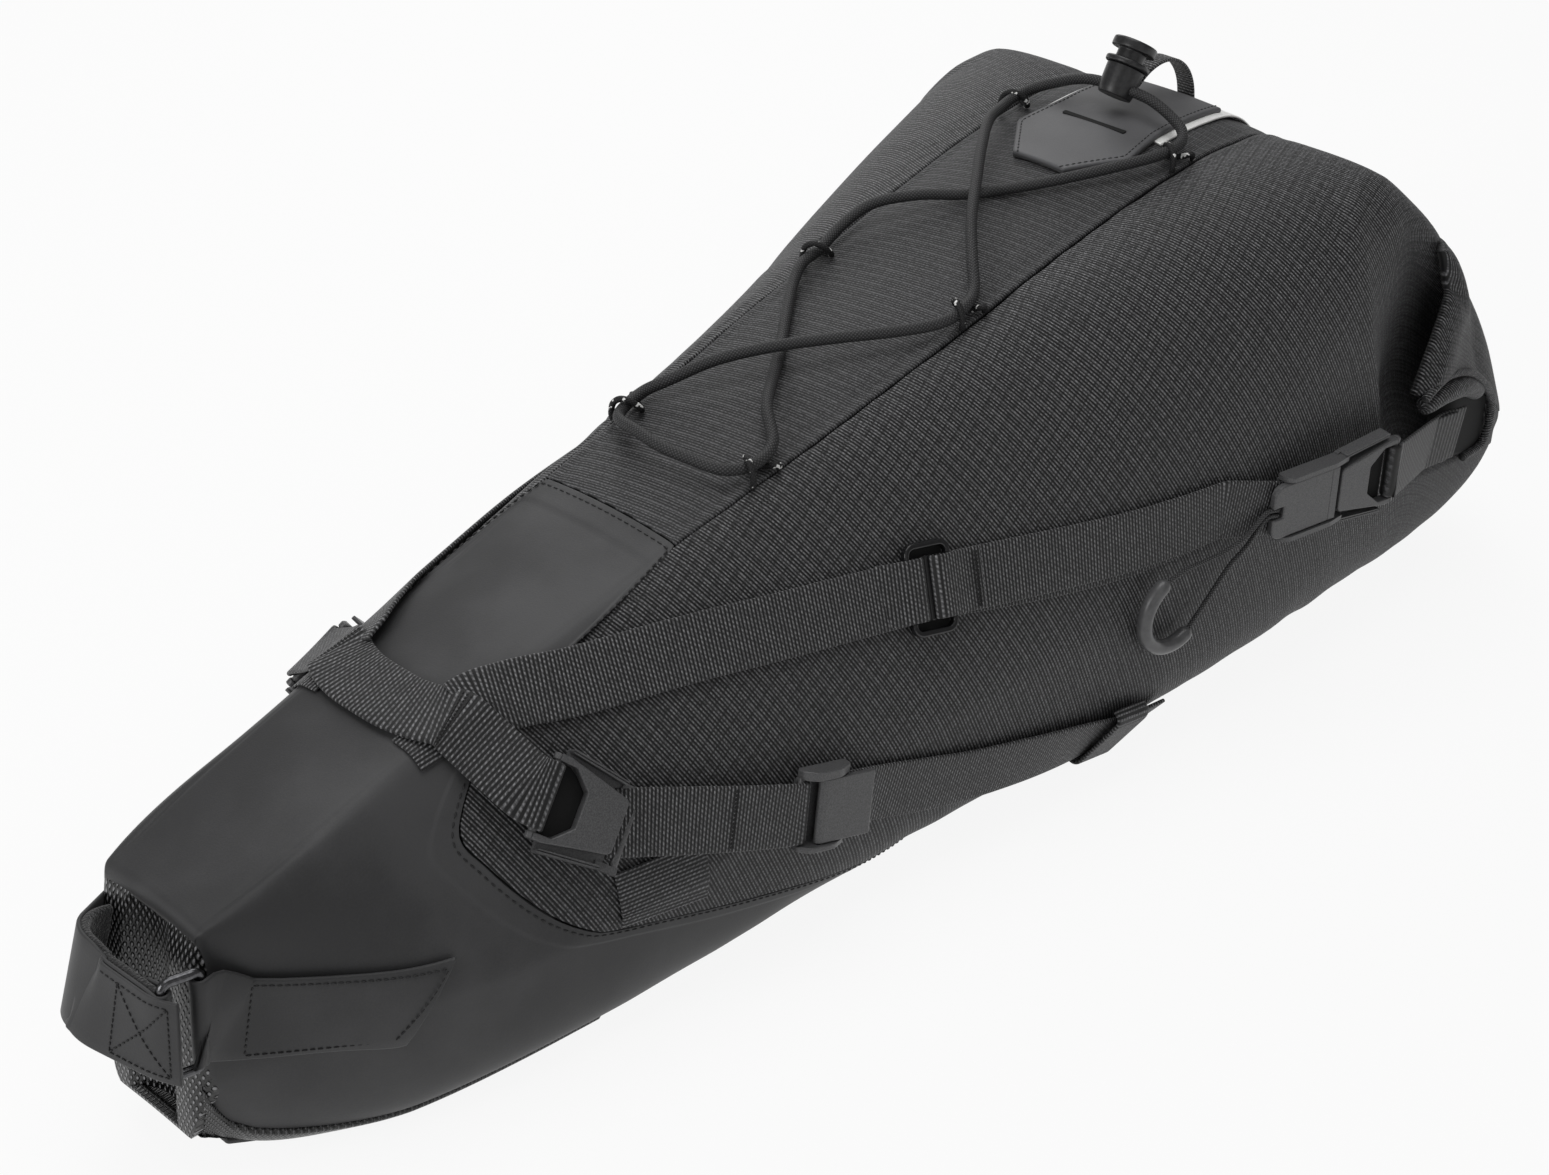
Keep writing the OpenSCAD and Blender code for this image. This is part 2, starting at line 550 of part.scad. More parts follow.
// Lever that the pull cord lifts, and the pin it turns on
lever_from = hook_len + 1.2;
lever_pin_x = lever_from + 8;
lever_pin_z = 5;
lever_slot = pull_d + 3.2;
lever_front = 26;
wall_to = lever_pin_x + 21;
module tail_catch() color(buckle_grey) multmatrix(tail_m()) {
  catch_seat();
  for (i = [-1, 1]) difference() {
    translate([hook_len - 4, i > 0 ? lever_wall_y : -lever_wall_y - lever_wall, 0])
      cube([wall_to - hook_len + 4, lever_wall, lever_pin_z + 2.4]);
    pin_hole(lever_pin_x, lever_pin_z);
  }
  translate([lever_pin_x + 4, -lever_wall_y - 0.1, 0])
    cube([wall_to - lever_pin_x - 4, 2 * lever_wall_y + 0.2, 1]);
}
module tail_lever() color(buckle_grey) multmatrix(tail_m()) {
  half = lever_wall_y - 0.4;
  front = lever_front;
  translate([lever_pin_x, lever_wall_y + lever_wall, lever_pin_z]) rotate([90, 0, 0])
    cylinder(d = pivot_d, h = 2 * (lever_wall_y + lever_wall));
  translate([lever_from, -half, lever_pin_z]) cube([4, 2 * half, 1.6]);
  translate([0, 0, lever_pin_z - 1.6]) linear_extrude(3.2) difference() {
    union() {
      translate([lever_from + 4, -half]) square([front, 2 * half]);
      translate([lever_from + 4 + front, -half + 5]) square([5, 2 * half - 10]);
      for (i = [-1, 1]) translate([lever_from + 4 + front, i * (half - 5)]) circle(r = 5);
    }
    translate([lever_from + front + 3.6, -lever_slot / 2]) square([6, lever_slot]);
  }
}
module tail_hook() color(buckle_grey) multmatrix(tail_m()) hook_plate();
module tail_hook_left() in_frame() tail_hook();
module tail_hook_right() in_frame() on_right() tail_hook();
module tail_catch_left() in_frame() tail_catch();
module tail_catch_right() in_frame() on_right() tail_catch();
module tail_lever_left() in_frame() tail_lever();
module tail_lever_right() in_frame() on_right() tail_lever();

// Link of webbing from a point in a buckle's frame to the start of a strap on the skin
module web_link(m, x, z, u, t, lift) {
  n1 = [m[0][2], m[1][2], m[2][2]];
  n2 = out(u, t);
  b = [m[0][1], m[1][1], m[2][1]];
  h = web_w / 2 - 0.3;
  p = local(m, [x, 0, z]);
  q = skin(u, t) + n2 * lift;
  band([p + b * h, q + b * h], [p - b * h, q - b * h], [n1, n2], web_t);
}

// ---- rail strap and side straps ----
RAIL_ROUTE = [[0.157, 0], [0.158, 0.5], [0.161, 0.92], [0.164, 1.08], [0.169, 1.20], [0.174, 1.28]];
rail_lift = web_lift + 0.6;
module rail_half() {
  m = rail_m();
  skin_strap(RAIL_ROUTE, web_w - 0.6, web_t, rail_lift);
  end = RAIL_ROUTE[len(RAIL_ROUTE) - 1];
  web_link(m, -eye_in - web_t / 2, bar_z - web_t, end[0], end[1], rail_lift);
  multmatrix(m) web_eye(bar_z);
}
module rail_strap() color(web_grey) in_frame() {
  rail_half();
  on_right() rail_half();
}

// Flaps of webbing sewn on the hood just in front of the rail strap
TAB_UNDER = [[0.1385, 0.72], [0.1385, 0.9], [0.1395, 1.1]];
module hood_tabs() color(web_grey) in_frame() {
  skin_strap(TAB_UNDER, web_w / 2, 0.7, 0.3);
  on_right() skin_strap(TAB_UNDER, web_w / 2, 0.7, 0.3);
}

SIDE_ROUTE = [[0.201, 1.09], [0.225, 1.16], [0.263, 1.25], [0.336, 1.42], [0.412, 1.56],
              [0.492, 1.69], [0.561, 1.78], [0.61, 1.825], [0.655, 1.855]];
module side_strap() color(web_grey) {
  m = tail_m();
  h = web_w / 2 - 0.3;
  x = wall_to + 1;
  n = [m[0][2], m[1][2], m[2][2]];
  skin_strap(SIDE_ROUTE, web_w - 0.6, web_t, web_lift);
  web_link(m, x, 1.3, SIDE_ROUTE[8][0], SIDE_ROUTE[8][1], web_lift);
  // stretch that lies on the buckle's plate, under the lever
  band([local(m, [x + 0.2, h, 1.3]), local(m, [lever_pin_x + 4, h, 1.3])],
       [local(m, [x + 0.2, -h, 1.3]), local(m, [lever_pin_x + 4, -h, 1.3])], [n, n], web_t);
}
module side_strap_left() in_frame() side_strap();
module side_strap_right() in_frame() on_right() side_strap();

TAB_ROUTE = [[0.885, 1.98], [0.90, 1.975], [0.93, 1.97]];
ear_t = 2.4;
ear_lift = web_lift + 0.4;
tab_lift = ear_lift + ear_t + 0.8;
module tail_tab() color(web_grey) {
  m = tail_m();
  skin_strap(TAB_ROUTE, web_w - 0.6, web_t, tab_lift);
  web_link(m, -eye_in - web_t / 2, bar_z - web_t, TAB_ROUTE[0][0], TAB_ROUTE[0][1], tab_lift);
  multmatrix(m) web_eye(bar_z);
}
// Folded corner of the tail's cloth, which the tab is sewn on
module tail_ear() color(cloth_grey)
  skin_patch([1.22, 1.37, 1.5, 1.6, 1.72, 1.85, 2.0, 2.12], function(t) 0.868, function(t) 0.983,
             9, ear_lift + ear_t, ear_lift);
module tail_ear_left() in_frame() tail_ear();
module tail_ear_right() in_frame() on_right() tail_ear();
module tail_tab_left() in_frame() tail_tab();
module tail_tab_right() in_frame() on_right() tail_tab();

// ---- slider on the side strap ----
SLIDER = [0.444, 1.612, 0.02, 0.035];
function slider_m() = frame_at(SLIDER[0], SLIDER[1], SLIDER[2], SLIDER[3], 0);
module slider() color(buckle_grey) multmatrix(slider_m()) {
  inner = web_w / 2 + 0.5;
  top = web_lift + web_t + 1;
  for (i = [-1, 1]) translate([-slider_len / 2, i > 0 ? inner : -inner - arm_w, web_lift])
    cube([slider_len, arm_w, top + slider_t - web_lift]);
  for (x = [-slider_len / 2, -slider_t / 2, slider_len / 2 - slider_t])
    translate([x, -inner - 0.1, top]) cube([slider_t, 2 * inner + 0.2, slider_t]);
}
module slider_left() in_frame() slider();
module slider_right() in_frame() on_right() slider();

// ---- cam buckle, its straps and the keeper ----
// Local frame: x = 0 at the pivot of the lever, which lies over the rear of the buckle
CAM = [0.331, 1.985, 0.03, 0.05];
function cam_m() = frame_at(CAM[0], CAM[1], CAM[2], CAM[3], buckle_lift);
cam_bar_x = -7.5;
cam_plate_x = cam_bar_x + eye_in + web_t + 0.5;
pivot_z = 5;
cam_wall_len = cam_len - 10;
cam_wall_to = cam_bar_x - bar_d / 2 + cam_wall_len;
module cam_body() color(buckle_grey) multmatrix(cam_m()) {
  for (i = [-1, 1]) difference() {
    translate([cam_bar_x - bar_d / 2, i > 0 ? lever_wall_y : -lever_wall_y - lever_wall, 0])
      cube([cam_wall_len, lever_wall, pivot_z + 2.2]);
    pin_hole(0, pivot_z);
  }
  translate([cam_plate_x, -lever_wall_y - 0.1, 0])
    cube([cam_wall_to - cam_plate_x, 2 * lever_wall_y + 0.2, 1]);
  translate([cam_bar_x, lever_wall_y + 0.1, bar_d / 2]) rotate([90, 0, 0])
    cylinder(d = bar_d, h = 2 * lever_wall_y + 0.2);
}
module cam_lever() color(buckle_grey) multmatrix(cam_m()) {
  half = lever_wall_y - 0.4;
  translate([0, half, pivot_z]) rotate([90, 0, 0]) cylinder(d = 2 * pivot_d - 1.2, h = 2 * half);
  translate([0, lever_wall_y + lever_wall, pivot_z]) rotate([90, 0, 0])
    cylinder(d = pivot_d, h = 2 * (lever_wall_y + lever_wall));
  translate([0, -half, pivot_z - 0.6]) cube([cam_len - 6, 2 * half, lever_t]);
}
module cam_body_left() in_frame() cam_body();
module cam_body_right() in_frame() on_right() cam_body();
module cam_lever_left() in_frame() cam_lever();
module cam_lever_right() in_frame() on_right() cam_lever();

LINK_ROUTE = [[0.249, 1.87], [0.270, 1.90], [0.290, 1.93]];
link_lift = web_lift + 1.2;
module cam_link() color(web_grey) {
  m = rail_m();
  k = cam_m();
  x = catch_bar_x;
  skin_strap(LINK_ROUTE, web_w - 0.6, web_t, link_lift);
  web_link(m, x + eye_in + web_t / 2, bar_d / 2, LINK_ROUTE[0][0], LINK_ROUTE[0][1], link_lift);
  multmatrix(m) translate([x, 0, 0]) web_eye(bar_d / 2);
  web_link(k, cam_bar_x - eye_in - web_t / 2, bar_d / 2, LINK_ROUTE[2][0], LINK_ROUTE[2][1],
           link_lift);
  multmatrix(k) translate([cam_bar_x, 0, 0]) web_eye(bar_d / 2);
}
module cam_link_left() in_frame() cam_link();
module cam_link_right() in_frame() on_right() cam_link();

// Short length of webbing that ties the link down to the seam of the hood
ANCHOR_ROUTE = [[0.228, 1.99], [0.240, 2.05], [0.250, 2.11]];
module link_anchor() color(web_grey) skin_strap(ANCHOR_ROUTE, web_w - 4, 1, 0.8);
module link_anchor_left() in_frame() link_anchor();
module link_anchor_right() in_frame() on_right() link_anchor();

cam_strap_lift = web_lift + 0.8;
CAM_ROUTE = [[0.378, 2.085], [0.41, 2.16], [0.45, 2.24], [0.50, 2.31], [0.545, 2.365], [0.58, 2.41],
             [0.618, 2.435]];
module cam_strap() color(web_grey) {
  k = cam_m();
  h = web_w / 2 - 0.3;
  out_x = cam_wall_to + 1;
  n = [k[0][2], k[1][2], k[2][2]];
  skin_strap(CAM_ROUTE, web_w - 0.6, web_t, cam_strap_lift);
  web_link(k, out_x, 1.3, CAM_ROUTE[0][0], CAM_ROUTE[0][1], cam_strap_lift);
  // stretch that lies on the buckle's plate, under the lever
  band([local(k, [1, h, 1.3]), local(k, [out_x + 0.2, h, 1.3])],
       [local(k, [1, -h, 1.3]), local(k, [out_x + 0.2, -h, 1.3])], [n, n], web_t);
}
module cam_strap_left() in_frame() cam_strap();
module cam_strap_right() in_frame() on_right() cam_strap();

KEEPER = [0.592, 2.42, 0.02, 0.012];
module keeper() color(web_grey) multmatrix(frame_at(KEEPER[0], KEEPER[1], KEEPER[2], KEEPER[3], 0)) {
  inner = web_w / 2 + 1.3;
  low = cam_strap_lift + web_t + 1.8;
  translate([-keeper_w / 2, -inner - web_t, low]) cube([keeper_w, 2 * (inner + web_t), web_t]);
  for (i = [-1, 1]) translate([-keeper_w / 2, i > 0 ? inner : -inner - web_t, 0])
    cube([keeper_w, web_t, low + web_t]);
}
module keeper_left() in_frame() keeper();
module keeper_right() in_frame() on_right() keeper();

// ---- pull cords ----
// One cord on each side: from the upper end of its grip to the slot in the tail lever,
// round in the slot, and back to the lower end of the grip
PULL = [0.609, 2.015];
grip_arc_r = 16.5;
grip_from = 104;
grip_arc = 198;
PULL_UPPER = [[404, -123.8, 93.2], [415, -124.6, 92], [426, -126.8, 92.6], [437, -129, 95.6]];
PULL_LOWER = [[439, -128.6, 90], [431, -126.6, 83.5], [423, -125.6, 76], [415, -125.2, 69.5]];
function grip_m() = frame_at(PULL[0], PULL[1], 0.02, 0, grip_tube_d / 2 + web_lift + 1.2);
function grip_end_at(angle, way) = local(grip_m(), [grip_arc_r * cos(angle) + way * sin(angle),
  grip_arc_r * sin(angle) - way * cos(angle), 0]);
module pull_cord() color("#202122") {
  m = tail_m();
  turn_x = lever_from + lever_front + 6.3;
  turn_r = pull_d / 2 + 0.35;
  turn = [for (a = [-90:30:90]) local(m, [turn_x - turn_r * cos(a), turn_r * sin(a), lever_pin_z])];
  tube(concat([grip_end_at(grip_from, 0.2)], [for (p = PULL_UPPER) fit(p)],
    [local(m, [turn_x + 6, -turn_r, lever_pin_z])], turn,
    [local(m, [turn_x + 6, turn_r, lever_pin_z])], [for (p = PULL_LOWER) fit(p)],
    [grip_end_at(grip_from + grip_arc, -0.2)]), pull_d / 2, 8);
}
module pull_cord_left() in_frame() pull_cord();
module pull_cord_right() in_frame() on_right() pull_cord();
module pull_grip() color(buckle_grey) multmatrix(grip_m()) rotate([0, 0, grip_from])
  rotate_extrude(angle = grip_arc) translate([grip_arc_r, 0]) circle(d = grip_tube_d);
module pull_grip_left() in_frame() pull_grip();
module pull_grip_right() in_frame() on_right() pull_grip();

// ---- lacing and cord lock ----
LOOPS = [[0.385, 1], [0.556, 1], [0.752, 1]];
loop_leg = 4;
// A loop stands over the cord just inside the seam, across the seam's line
module lacing_loop(u) {
  p = skin(u, 0.9);
  r = loop_r + loop_d / 2;
  slope_deg = atan2(skin(u + step, 0.9)[2] - skin(u - step, 0.9)[2],
                    skin(u + step, 0.9)[0] - skin(u - step, 0.9)[0]);
  translate([p[0], p[1], p[2] + 1.4]) rotate([0, -slope_deg, 0]) {
    translate([0, 0, loop_leg]) rotate([90, 0, 90]) rotate_extrude(angle = 180)
      translate([r, 0]) circle(d = loop_d);
    for (i = [-1, 1]) translate([0, i * r, 0]) cylinder(d = loop_d, h = loop_leg);
  }
}
module lacing_loops() color("#1c1c1d") in_frame() for (l = LOOPS) {
  lacing_loop(l[0]);
  on_right() lacing_loop(l[0]);
}

// Route of the shock cord, from inside the lock through the loops and back into it
BUNGEE = [[507.3, 1, 229.8], [507.3, 11, 229.8], [507, 20, 228], [506, 30, 224], [503, 37, 221],
  [498, 40, 219.6], [488, 40, 219.4], [478, 38, 219], [462, 32, 220], [440, 18, 219], [420, 4, 216], [400, -10, 210],
  [384, -24, 203], [373, -34, 197], [362, -38, 195], [350, -37, 193], [335, -28, 192],
  [316, -13, 191], [298, 2, 189], [282, 17, 184], [268, 28, 177], [260, 34, 173], [248, 32.5, 171.6],
  [240, 27, 172], [236, 14, 174], [234, 0, 174], [236, -14, 173], [240, -27, 172], [250, -32.6, 172],
  [262, -31, 175], [274, -17, 180], [290, -5, 181], [306, 6, 183], [322, 18, 186], [340, 31, 189],
  [352, 37, 192], [364, 38, 194], [378, 39, 199], [392, 35, 205], [406, 23, 208], [420, 9, 208],
  [436, -7, 211], [452, -22, 215], [470, -34, 218], [483, -40, 219.3], [497, -40, 219.6], [504, -36, 222],
  [507, -28, 225], [507.3, -19, 228.5], [507.3, -11, 229.8], [507.3, -1, 229.8]];
module bungee_cord() color("#2b2c2e") in_frame()
  tube([for (p = BUNGEE) fit(p)], bungee_d / 2, 8);

lock_at = [505, 0, 226.5];
lock_lean = 35;
collar_t = 2.5;
collar_over = 1.4;
bore_z = 4;
bore_gap = 0.5;
well_z = 7.4;
plunger_r = lock_d / 2 - 2;
plunger_gap = 0.3;
button_t = 4.2;
spring_r = 3.6;
spring_wire = 1;
module at_lock() translate(fit(lock_at)) rotate([0, lock_lean, 0]) children();
module lock_barrel() color("#1f2021") in_frame() at_lock() difference() {
  union() {
    cylinder(d = lock_d, h = lock_len);
    translate([0, 0, lock_len - collar_t]) cylinder(r = lock_d / 2 + collar_over, h = collar_t);
  }
  translate([0, 0, well_z]) cylinder(r = plunger_r + plunger_gap, h = lock_len);
  translate([0, lock_d, bore_z]) rotate([90, 0, 0]) cylinder(r = bungee_d / 2 + bore_gap, h = 2 * lock_d);
}
module lock_button() color("#2a2b2c") in_frame() at_lock() difference() {
  union() {
    translate([0, 0, well_z + button_travel + 0.2])
      cylinder(r = plunger_r, h = lock_len - well_z);
    translate([0, 0, lock_len + button_travel + 0.2])
      cylinder(r = lock_d / 2 + collar_over, h = button_t);
  }
  translate([0, 0, well_z]) cylinder(r = spring_r + spring_wire / 2 + 0.4, h = lock_len - well_z + 2);
}
// Coils of the button's spring, at their closed length
module lock_spring() color("#9a9b9d") in_frame() at_lock() for (k = [0:3])
  translate([0, 0, well_z + 0.3 + spring_wire / 2 + 1.5 * k]) rotate_extrude()
    translate([spring_r, 0]) circle(d = spring_wire);

// Loop of ribbon for a finger, from the lock's barrel to the top edge of the tail
ribbon_w = 9;
ribbon_t = 1.4;
ribbon_r = 26;
ribbon_centre = fit(lock_at) + [29, 0, -18.5];
ribbon_from = -12;
module finger_ribbon() color(web_grey) in_frame() intersection() {
  translate(ribbon_centre + [0, ribbon_w / 2 - 4, 0]) rotate([90, 0, 0]) difference() {
    cylinder(r = ribbon_r + ribbon_t / 2, h = ribbon_w, $fn = 96);
    translate([0, 0, -1]) cylinder(r = ribbon_r - ribbon_t / 2, h = ribbon_w + 2, $fn = 96);
  }
  translate(ribbon_centre + [ribbon_from - 5, -ribbon_w, 1]) cube([60, 2 * ribbon_w, 40]);
}

hood_panel();
base_panel();
top_panel();
side_panel_left();
side_panel_right();
base_stiffener();
nose_stiffener();
seatpost_pad();
edge_binding();
tail_roll();
mouth_stiffener();
reflective_panel();
light_patch();
grip_strap();
grip_lining();
strap_ring();
strap_patch_left();
strap_patch_right();
rail_strap();
rail_hook_left();
rail_hook_right();
rail_catch_left();
rail_catch_right();
cam_link_left();
cam_link_right();
cam_body_left();
cam_body_right();
cam_lever_left();
cam_lever_right();
cam_strap_left();
cam_strap_right();
keeper_left();
keeper_right();
side_strap_left();
side_strap_right();
slider_left();
slider_right();
tail_catch_left();
tail_catch_right();
tail_lever_left();
tail_lever_right();
tail_ear_left();
tail_ear_right();
link_anchor_left();
link_anchor_right();
hood_tabs();
tail_hook_left();
tail_hook_right();
tail_tab_left();
tail_tab_right();
pull_cord_left();
pull_cord_right();
pull_grip_left();
pull_grip_right();
lacing_loops();
bungee_cord();
lock_barrel();
lock_button();
lock_spring();
finger_ribbon();
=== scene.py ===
# %% [markdown]
# # A saddle bag for bikepacking, dressed piece by piece
# The solids of the bag come from a CAD model, which this lesson loads as a fixed frame. Most
# pieces below are thin, detailed skins over those solids; the others, such as stitches, hems and
# folds, lie on them. All shapes are worked out in millimetres in the bag's own frame (x runs
# back from the nose, -y is the rider's left, z = 0 is the ground) and one function turns them
# into metres in the part's frame.

# %% Frame, units and the box of the solids
import math
import bpy
import numpy as np
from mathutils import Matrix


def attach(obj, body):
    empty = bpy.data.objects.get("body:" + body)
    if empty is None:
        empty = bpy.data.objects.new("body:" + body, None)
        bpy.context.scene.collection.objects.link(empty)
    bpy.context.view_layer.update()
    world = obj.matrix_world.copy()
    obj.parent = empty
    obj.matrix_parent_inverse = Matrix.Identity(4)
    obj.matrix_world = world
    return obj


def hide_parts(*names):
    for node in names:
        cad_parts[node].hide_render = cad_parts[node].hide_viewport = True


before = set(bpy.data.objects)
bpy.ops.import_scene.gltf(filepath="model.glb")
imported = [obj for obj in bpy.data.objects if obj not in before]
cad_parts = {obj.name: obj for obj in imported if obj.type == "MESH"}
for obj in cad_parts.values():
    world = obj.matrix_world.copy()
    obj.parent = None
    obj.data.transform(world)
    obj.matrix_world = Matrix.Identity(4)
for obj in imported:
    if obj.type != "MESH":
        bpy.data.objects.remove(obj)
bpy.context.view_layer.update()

MM = 0.001
NOSE_TO_ORIGIN = 300.0
SIDES = (("left", 1), ("right", -1))


def to_row(points):
    """Metres in the part's frame = (millimetres from the nose - the origin's place) / 1000."""
    return (np.asarray(points, float) - [NOSE_TO_ORIGIN, 0.0, 0.0]) * MM


# %% [markdown]
# ## The camera
# The camera stands in front of the nose on the rider's left and looks down on the bag. Its
# matrix is written out: right, up and backward axes from one turn and one tilt.

# %% Camera
VIEW_TURN = math.radians(47.02)
VIEW_TILT = math.radians(33.73)
CAMERA_AT = np.array([-638.9, -592.0, 660.5]) * MM
# sensor width and focal length in mm
SENSOR, LENS = 36.0, 60.426081
forward = np.array([math.sin(VIEW_TURN) * math.cos(VIEW_TILT),
                    math.cos(VIEW_TURN) * math.cos(VIEW_TILT), -math.sin(VIEW_TILT)])
right = np.array([math.cos(VIEW_TURN), -math.sin(VIEW_TURN), 0.0])
camera_matrix = np.eye(4)
camera_matrix[:3, :4] = np.column_stack([right, np.cross(right, forward), -forward, CAMERA_AT])
camera = bpy.data.objects.new("camera", bpy.data.cameras.new("camera"))
camera.data.sensor_width = SENSOR
camera.data.lens = LENS
camera.data.clip_end = 20.0
camera.matrix_world = camera_matrix.T.tolist()
bpy.context.scene.collection.objects.link(camera)
bpy.context.scene.camera = camera
print("camera: lens %.1f mm" % camera.data.lens)

# %% [markdown]
# ## The surface of the bag
# A tapered bag has no simple formula, so it is a loft: sixteen stations along its length, each
# with a few widths and heights, joined by smooth curves. Round each section the outline is a
# flat crown between two seams and two superellipse quarters, one for the shoulder and one
# for the lower corner. u runs from nose to tail, t from the middle of the top (0) over the
# seam (1) and the belly (2) to the middle of the floor (3), and -t is the rider's right.

# %% Body surface
BAG_LEN = 655.0
NOSE_RAKE, RAKE_Z, RAKE_LEN = 10.0, 100.0, 120.0
FLOOR_SINK = 3.0
# share of length, seam half-width, seam height, crown, belly half-width, belly height,
# floor height, power of the shoulder, power of the lower corner
STATIONS = np.array([
    [0.000, 24, 106, 2, 30, 66, 12, 0.45, 0.35],
    [0.045, 27, 115, 2, 47, 60, 4, 1.10, 0.40],
    [0.090, 28, 123, 2, 62, 56, 0, 1.50, 0.42],
    [0.150, 29, 133, 2, 74, 56, 0, 1.60, 0.45],
    [0.230, 31, 145, 2, 83, 58, 0, 1.60, 0.45],
    [0.320, 34, 158, 2, 90, 63, 0, 1.50, 0.46],
    [0.430, 38, 172, 3, 99, 68, 0, 1.45, 0.47],
    [0.540, 41, 187, 3, 111, 74, 0, 1.30, 0.48],
    [0.640, 43, 201, 4, 121, 80, 0, 1.05, 0.48],
    [0.735, 45, 211, 4, 127, 86, 0, 0.80, 0.48],
    [0.810, 46, 212, 4, 130, 88, 0, 0.55, 0.48],
    [0.855, 47, 205, 2, 131, 86, 0, 0.38, 0.48],
    [0.900, 47, 172, 1, 131, 78, 3, 0.36, 0.48],
    [0.945, 47, 128, 1, 130, 68, 8, 0.40, 0.50],
    [0.975, 47, 92, 1, 128, 58, 18, 0.45, 0.55],
    [1.000, 46, 62, 0, 124, 50, 38, 0.50, 0.60]])
MOUTH_U, LIP_U = 0.988, -0.008
# t at the seam between side and floor, and the length in mm that a step of 1 in t stands for
T_FLOOR, T_MM = 2.56, 95.0
# rear edge of the hood: pairs of t and u
HOOD_EDGE = np.array([[0, 0.318], [1, 0.318], [1.05, 0.27], [1.12, 0.18], [1.37, 0.136], [1.6, 0.141],
                      [1.85, 0.160], [2.0, 0.187], [2.12, 0.235], [2.27, 0.30], [2.45, 0.40],
                      [2.56, 0.48]])


def station(u):
    """Row of the table at u: a cubic Hermite curve through the stations, slopes from neighbours."""
    last = len(STATIONS) - 1
    row = np.arange(last + 1)
    low, high = np.maximum(row - 1, 0), np.minimum(row + 1, last)
    slope = (STATIONS[high] - STATIONS[low]) / (STATIONS[high, :1] - STATIONS[low, :1])
    i = np.clip(np.searchsorted(STATIONS[:, 0], u, side="right") - 1, 0, last - 1)
    a, b = STATIONS[i], STATIONS[i + 1]
    h = (b[..., :1] - a[..., :1])
    w = (np.asarray(u)[..., None] - a[..., :1]) / h
    return ((2 * w**3 - 3 * w**2 + 1) * a + (w**3 - 2 * w**2 + w) * h * slope[i]
            + (3 * w**2 - 2 * w**3) * b + (w**3 - w**2) * h * slope[i + 1])


def quarter(share, power):
    """Quarter of a superellipse at a share of a right angle: (across, along) with
    across^(2/power) + along^(2/power) = 1."""
    angle = np.clip(share, 0, 1) * math.pi / 2
    s, c = np.maximum(np.sin(angle), 1e-9), np.maximum(np.cos(angle), 1e-9)
    r = (s ** (2 / power) + c ** (2 / power)) ** (-power / 2)
    return r * s, r * c


def skin(u, t, off=0.0):
    """Point of the bag, pushed out by off along the ray from the middle of its section."""
    u, t, off = np.broadcast_arrays(*(np.asarray(v, float) for v in (u, t, off)))
    _, ws, zs, crown, wb, zm, zb, shoulder, corner = np.moveaxis(station(u), -1, 0)
    zb = np.maximum(zb, 0)
    a = np.abs(t)
    out1, up1 = quarter(a - 1, shoulder)
    down2, in2 = quarter(a - 2, corner)
    y = np.where(a <= 1, ws * a, np.where(a <= 2, ws + (wb - ws) * out1, wb * in2))
    z = np.where(a <= 1, zs + crown * (1 - a**2),
                 np.where(a <= 2, zm + (zs - zm) * up1,
                          np.maximum(zb, zm - (zm - zb + FLOOR_SINK) * down2)))
    ray = np.stack([y, z - (zs + zb) / 2], -1)
    ray /= np.linalg.norm(ray, axis=-1, keepdims=True)
    y, z = y + off * ray[..., 0], z + off * ray[..., 1]
    x = BAG_LEN * u - NOSE_RAKE * (1 - z / RAKE_Z) * np.clip(1 - u * BAG_LEN / RAKE_LEN, 0, 1)
    return np.stack([x, np.where(t >= 0, -y, y), z], -1)


def unit(v):
    """Each vector divided by its length."""
    return v / np.maximum(np.linalg.norm(v, axis=-1, keepdims=True), 1e-12)


def skin_out(u, t, step=0.004):
    """Outward normal: the cross product of the two small steps across and along."""
    u, t = np.broadcast_arrays(np.asarray(u, float), np.asarray(t, float))
    return unit(np.cross(skin(u, t + step) - skin(u, t - step), skin(u + step, t) - skin(u - step, t)))


U_CELLS, PER_T, INSIDE = 202, 100, 0.001
u_axis, t_axis = np.linspace(-0.01, 1.0, U_CELLS + 1), np.linspace(0, 3, 3 * PER_T + 1)
net = skin(u_axis[:, None], t_axis[None, :])
round_mm = np.pad(np.linalg.norm(np.diff(net, axis=1), axis=-1).cumsum(1), ((0, 0), (1, 0)))
# the length along the side is taken at t = 1.6
along_mm = np.pad(np.linalg.norm(np.diff(net[:, 16 * PER_T // 10], axis=0), axis=-1).cumsum(), (1, 0))
seam_mm = round_mm[:, PER_T]


def cloth_uv(u, t):
    """Flat place of a point of the cloth in mm: length along the side, and length round the
    section, from the middle of the top or from the seam. Both come from tables."""
    i = np.clip((u - u_axis[0]) / (u_axis[1] - u_axis[0]), 0, U_CELLS - INSIDE)
    j = np.clip(np.abs(t) * PER_T, 0, 3 * PER_T - INSIDE)
    i0, j0 = i.astype(int), j.astype(int)
    a, b = i - i0, j - j0
    r = ((1 - a) * ((1 - b) * round_mm[i0, j0] + b * round_mm[i0, j0 + 1])
         + a * ((1 - b) * round_mm[i0 + 1, j0] + b * round_mm[i0 + 1, j0 + 1]))
    r = np.where(np.abs(t) > 1, r - np.interp(u, u_axis, seam_mm), r)
    return np.stack([np.interp(u, u_axis, along_mm), np.sign(t) * r], -1)


print("bag: %.0f mm long, widest %.0f mm" % (BAG_LEN, 2 * STATIONS[:, 4].max()))

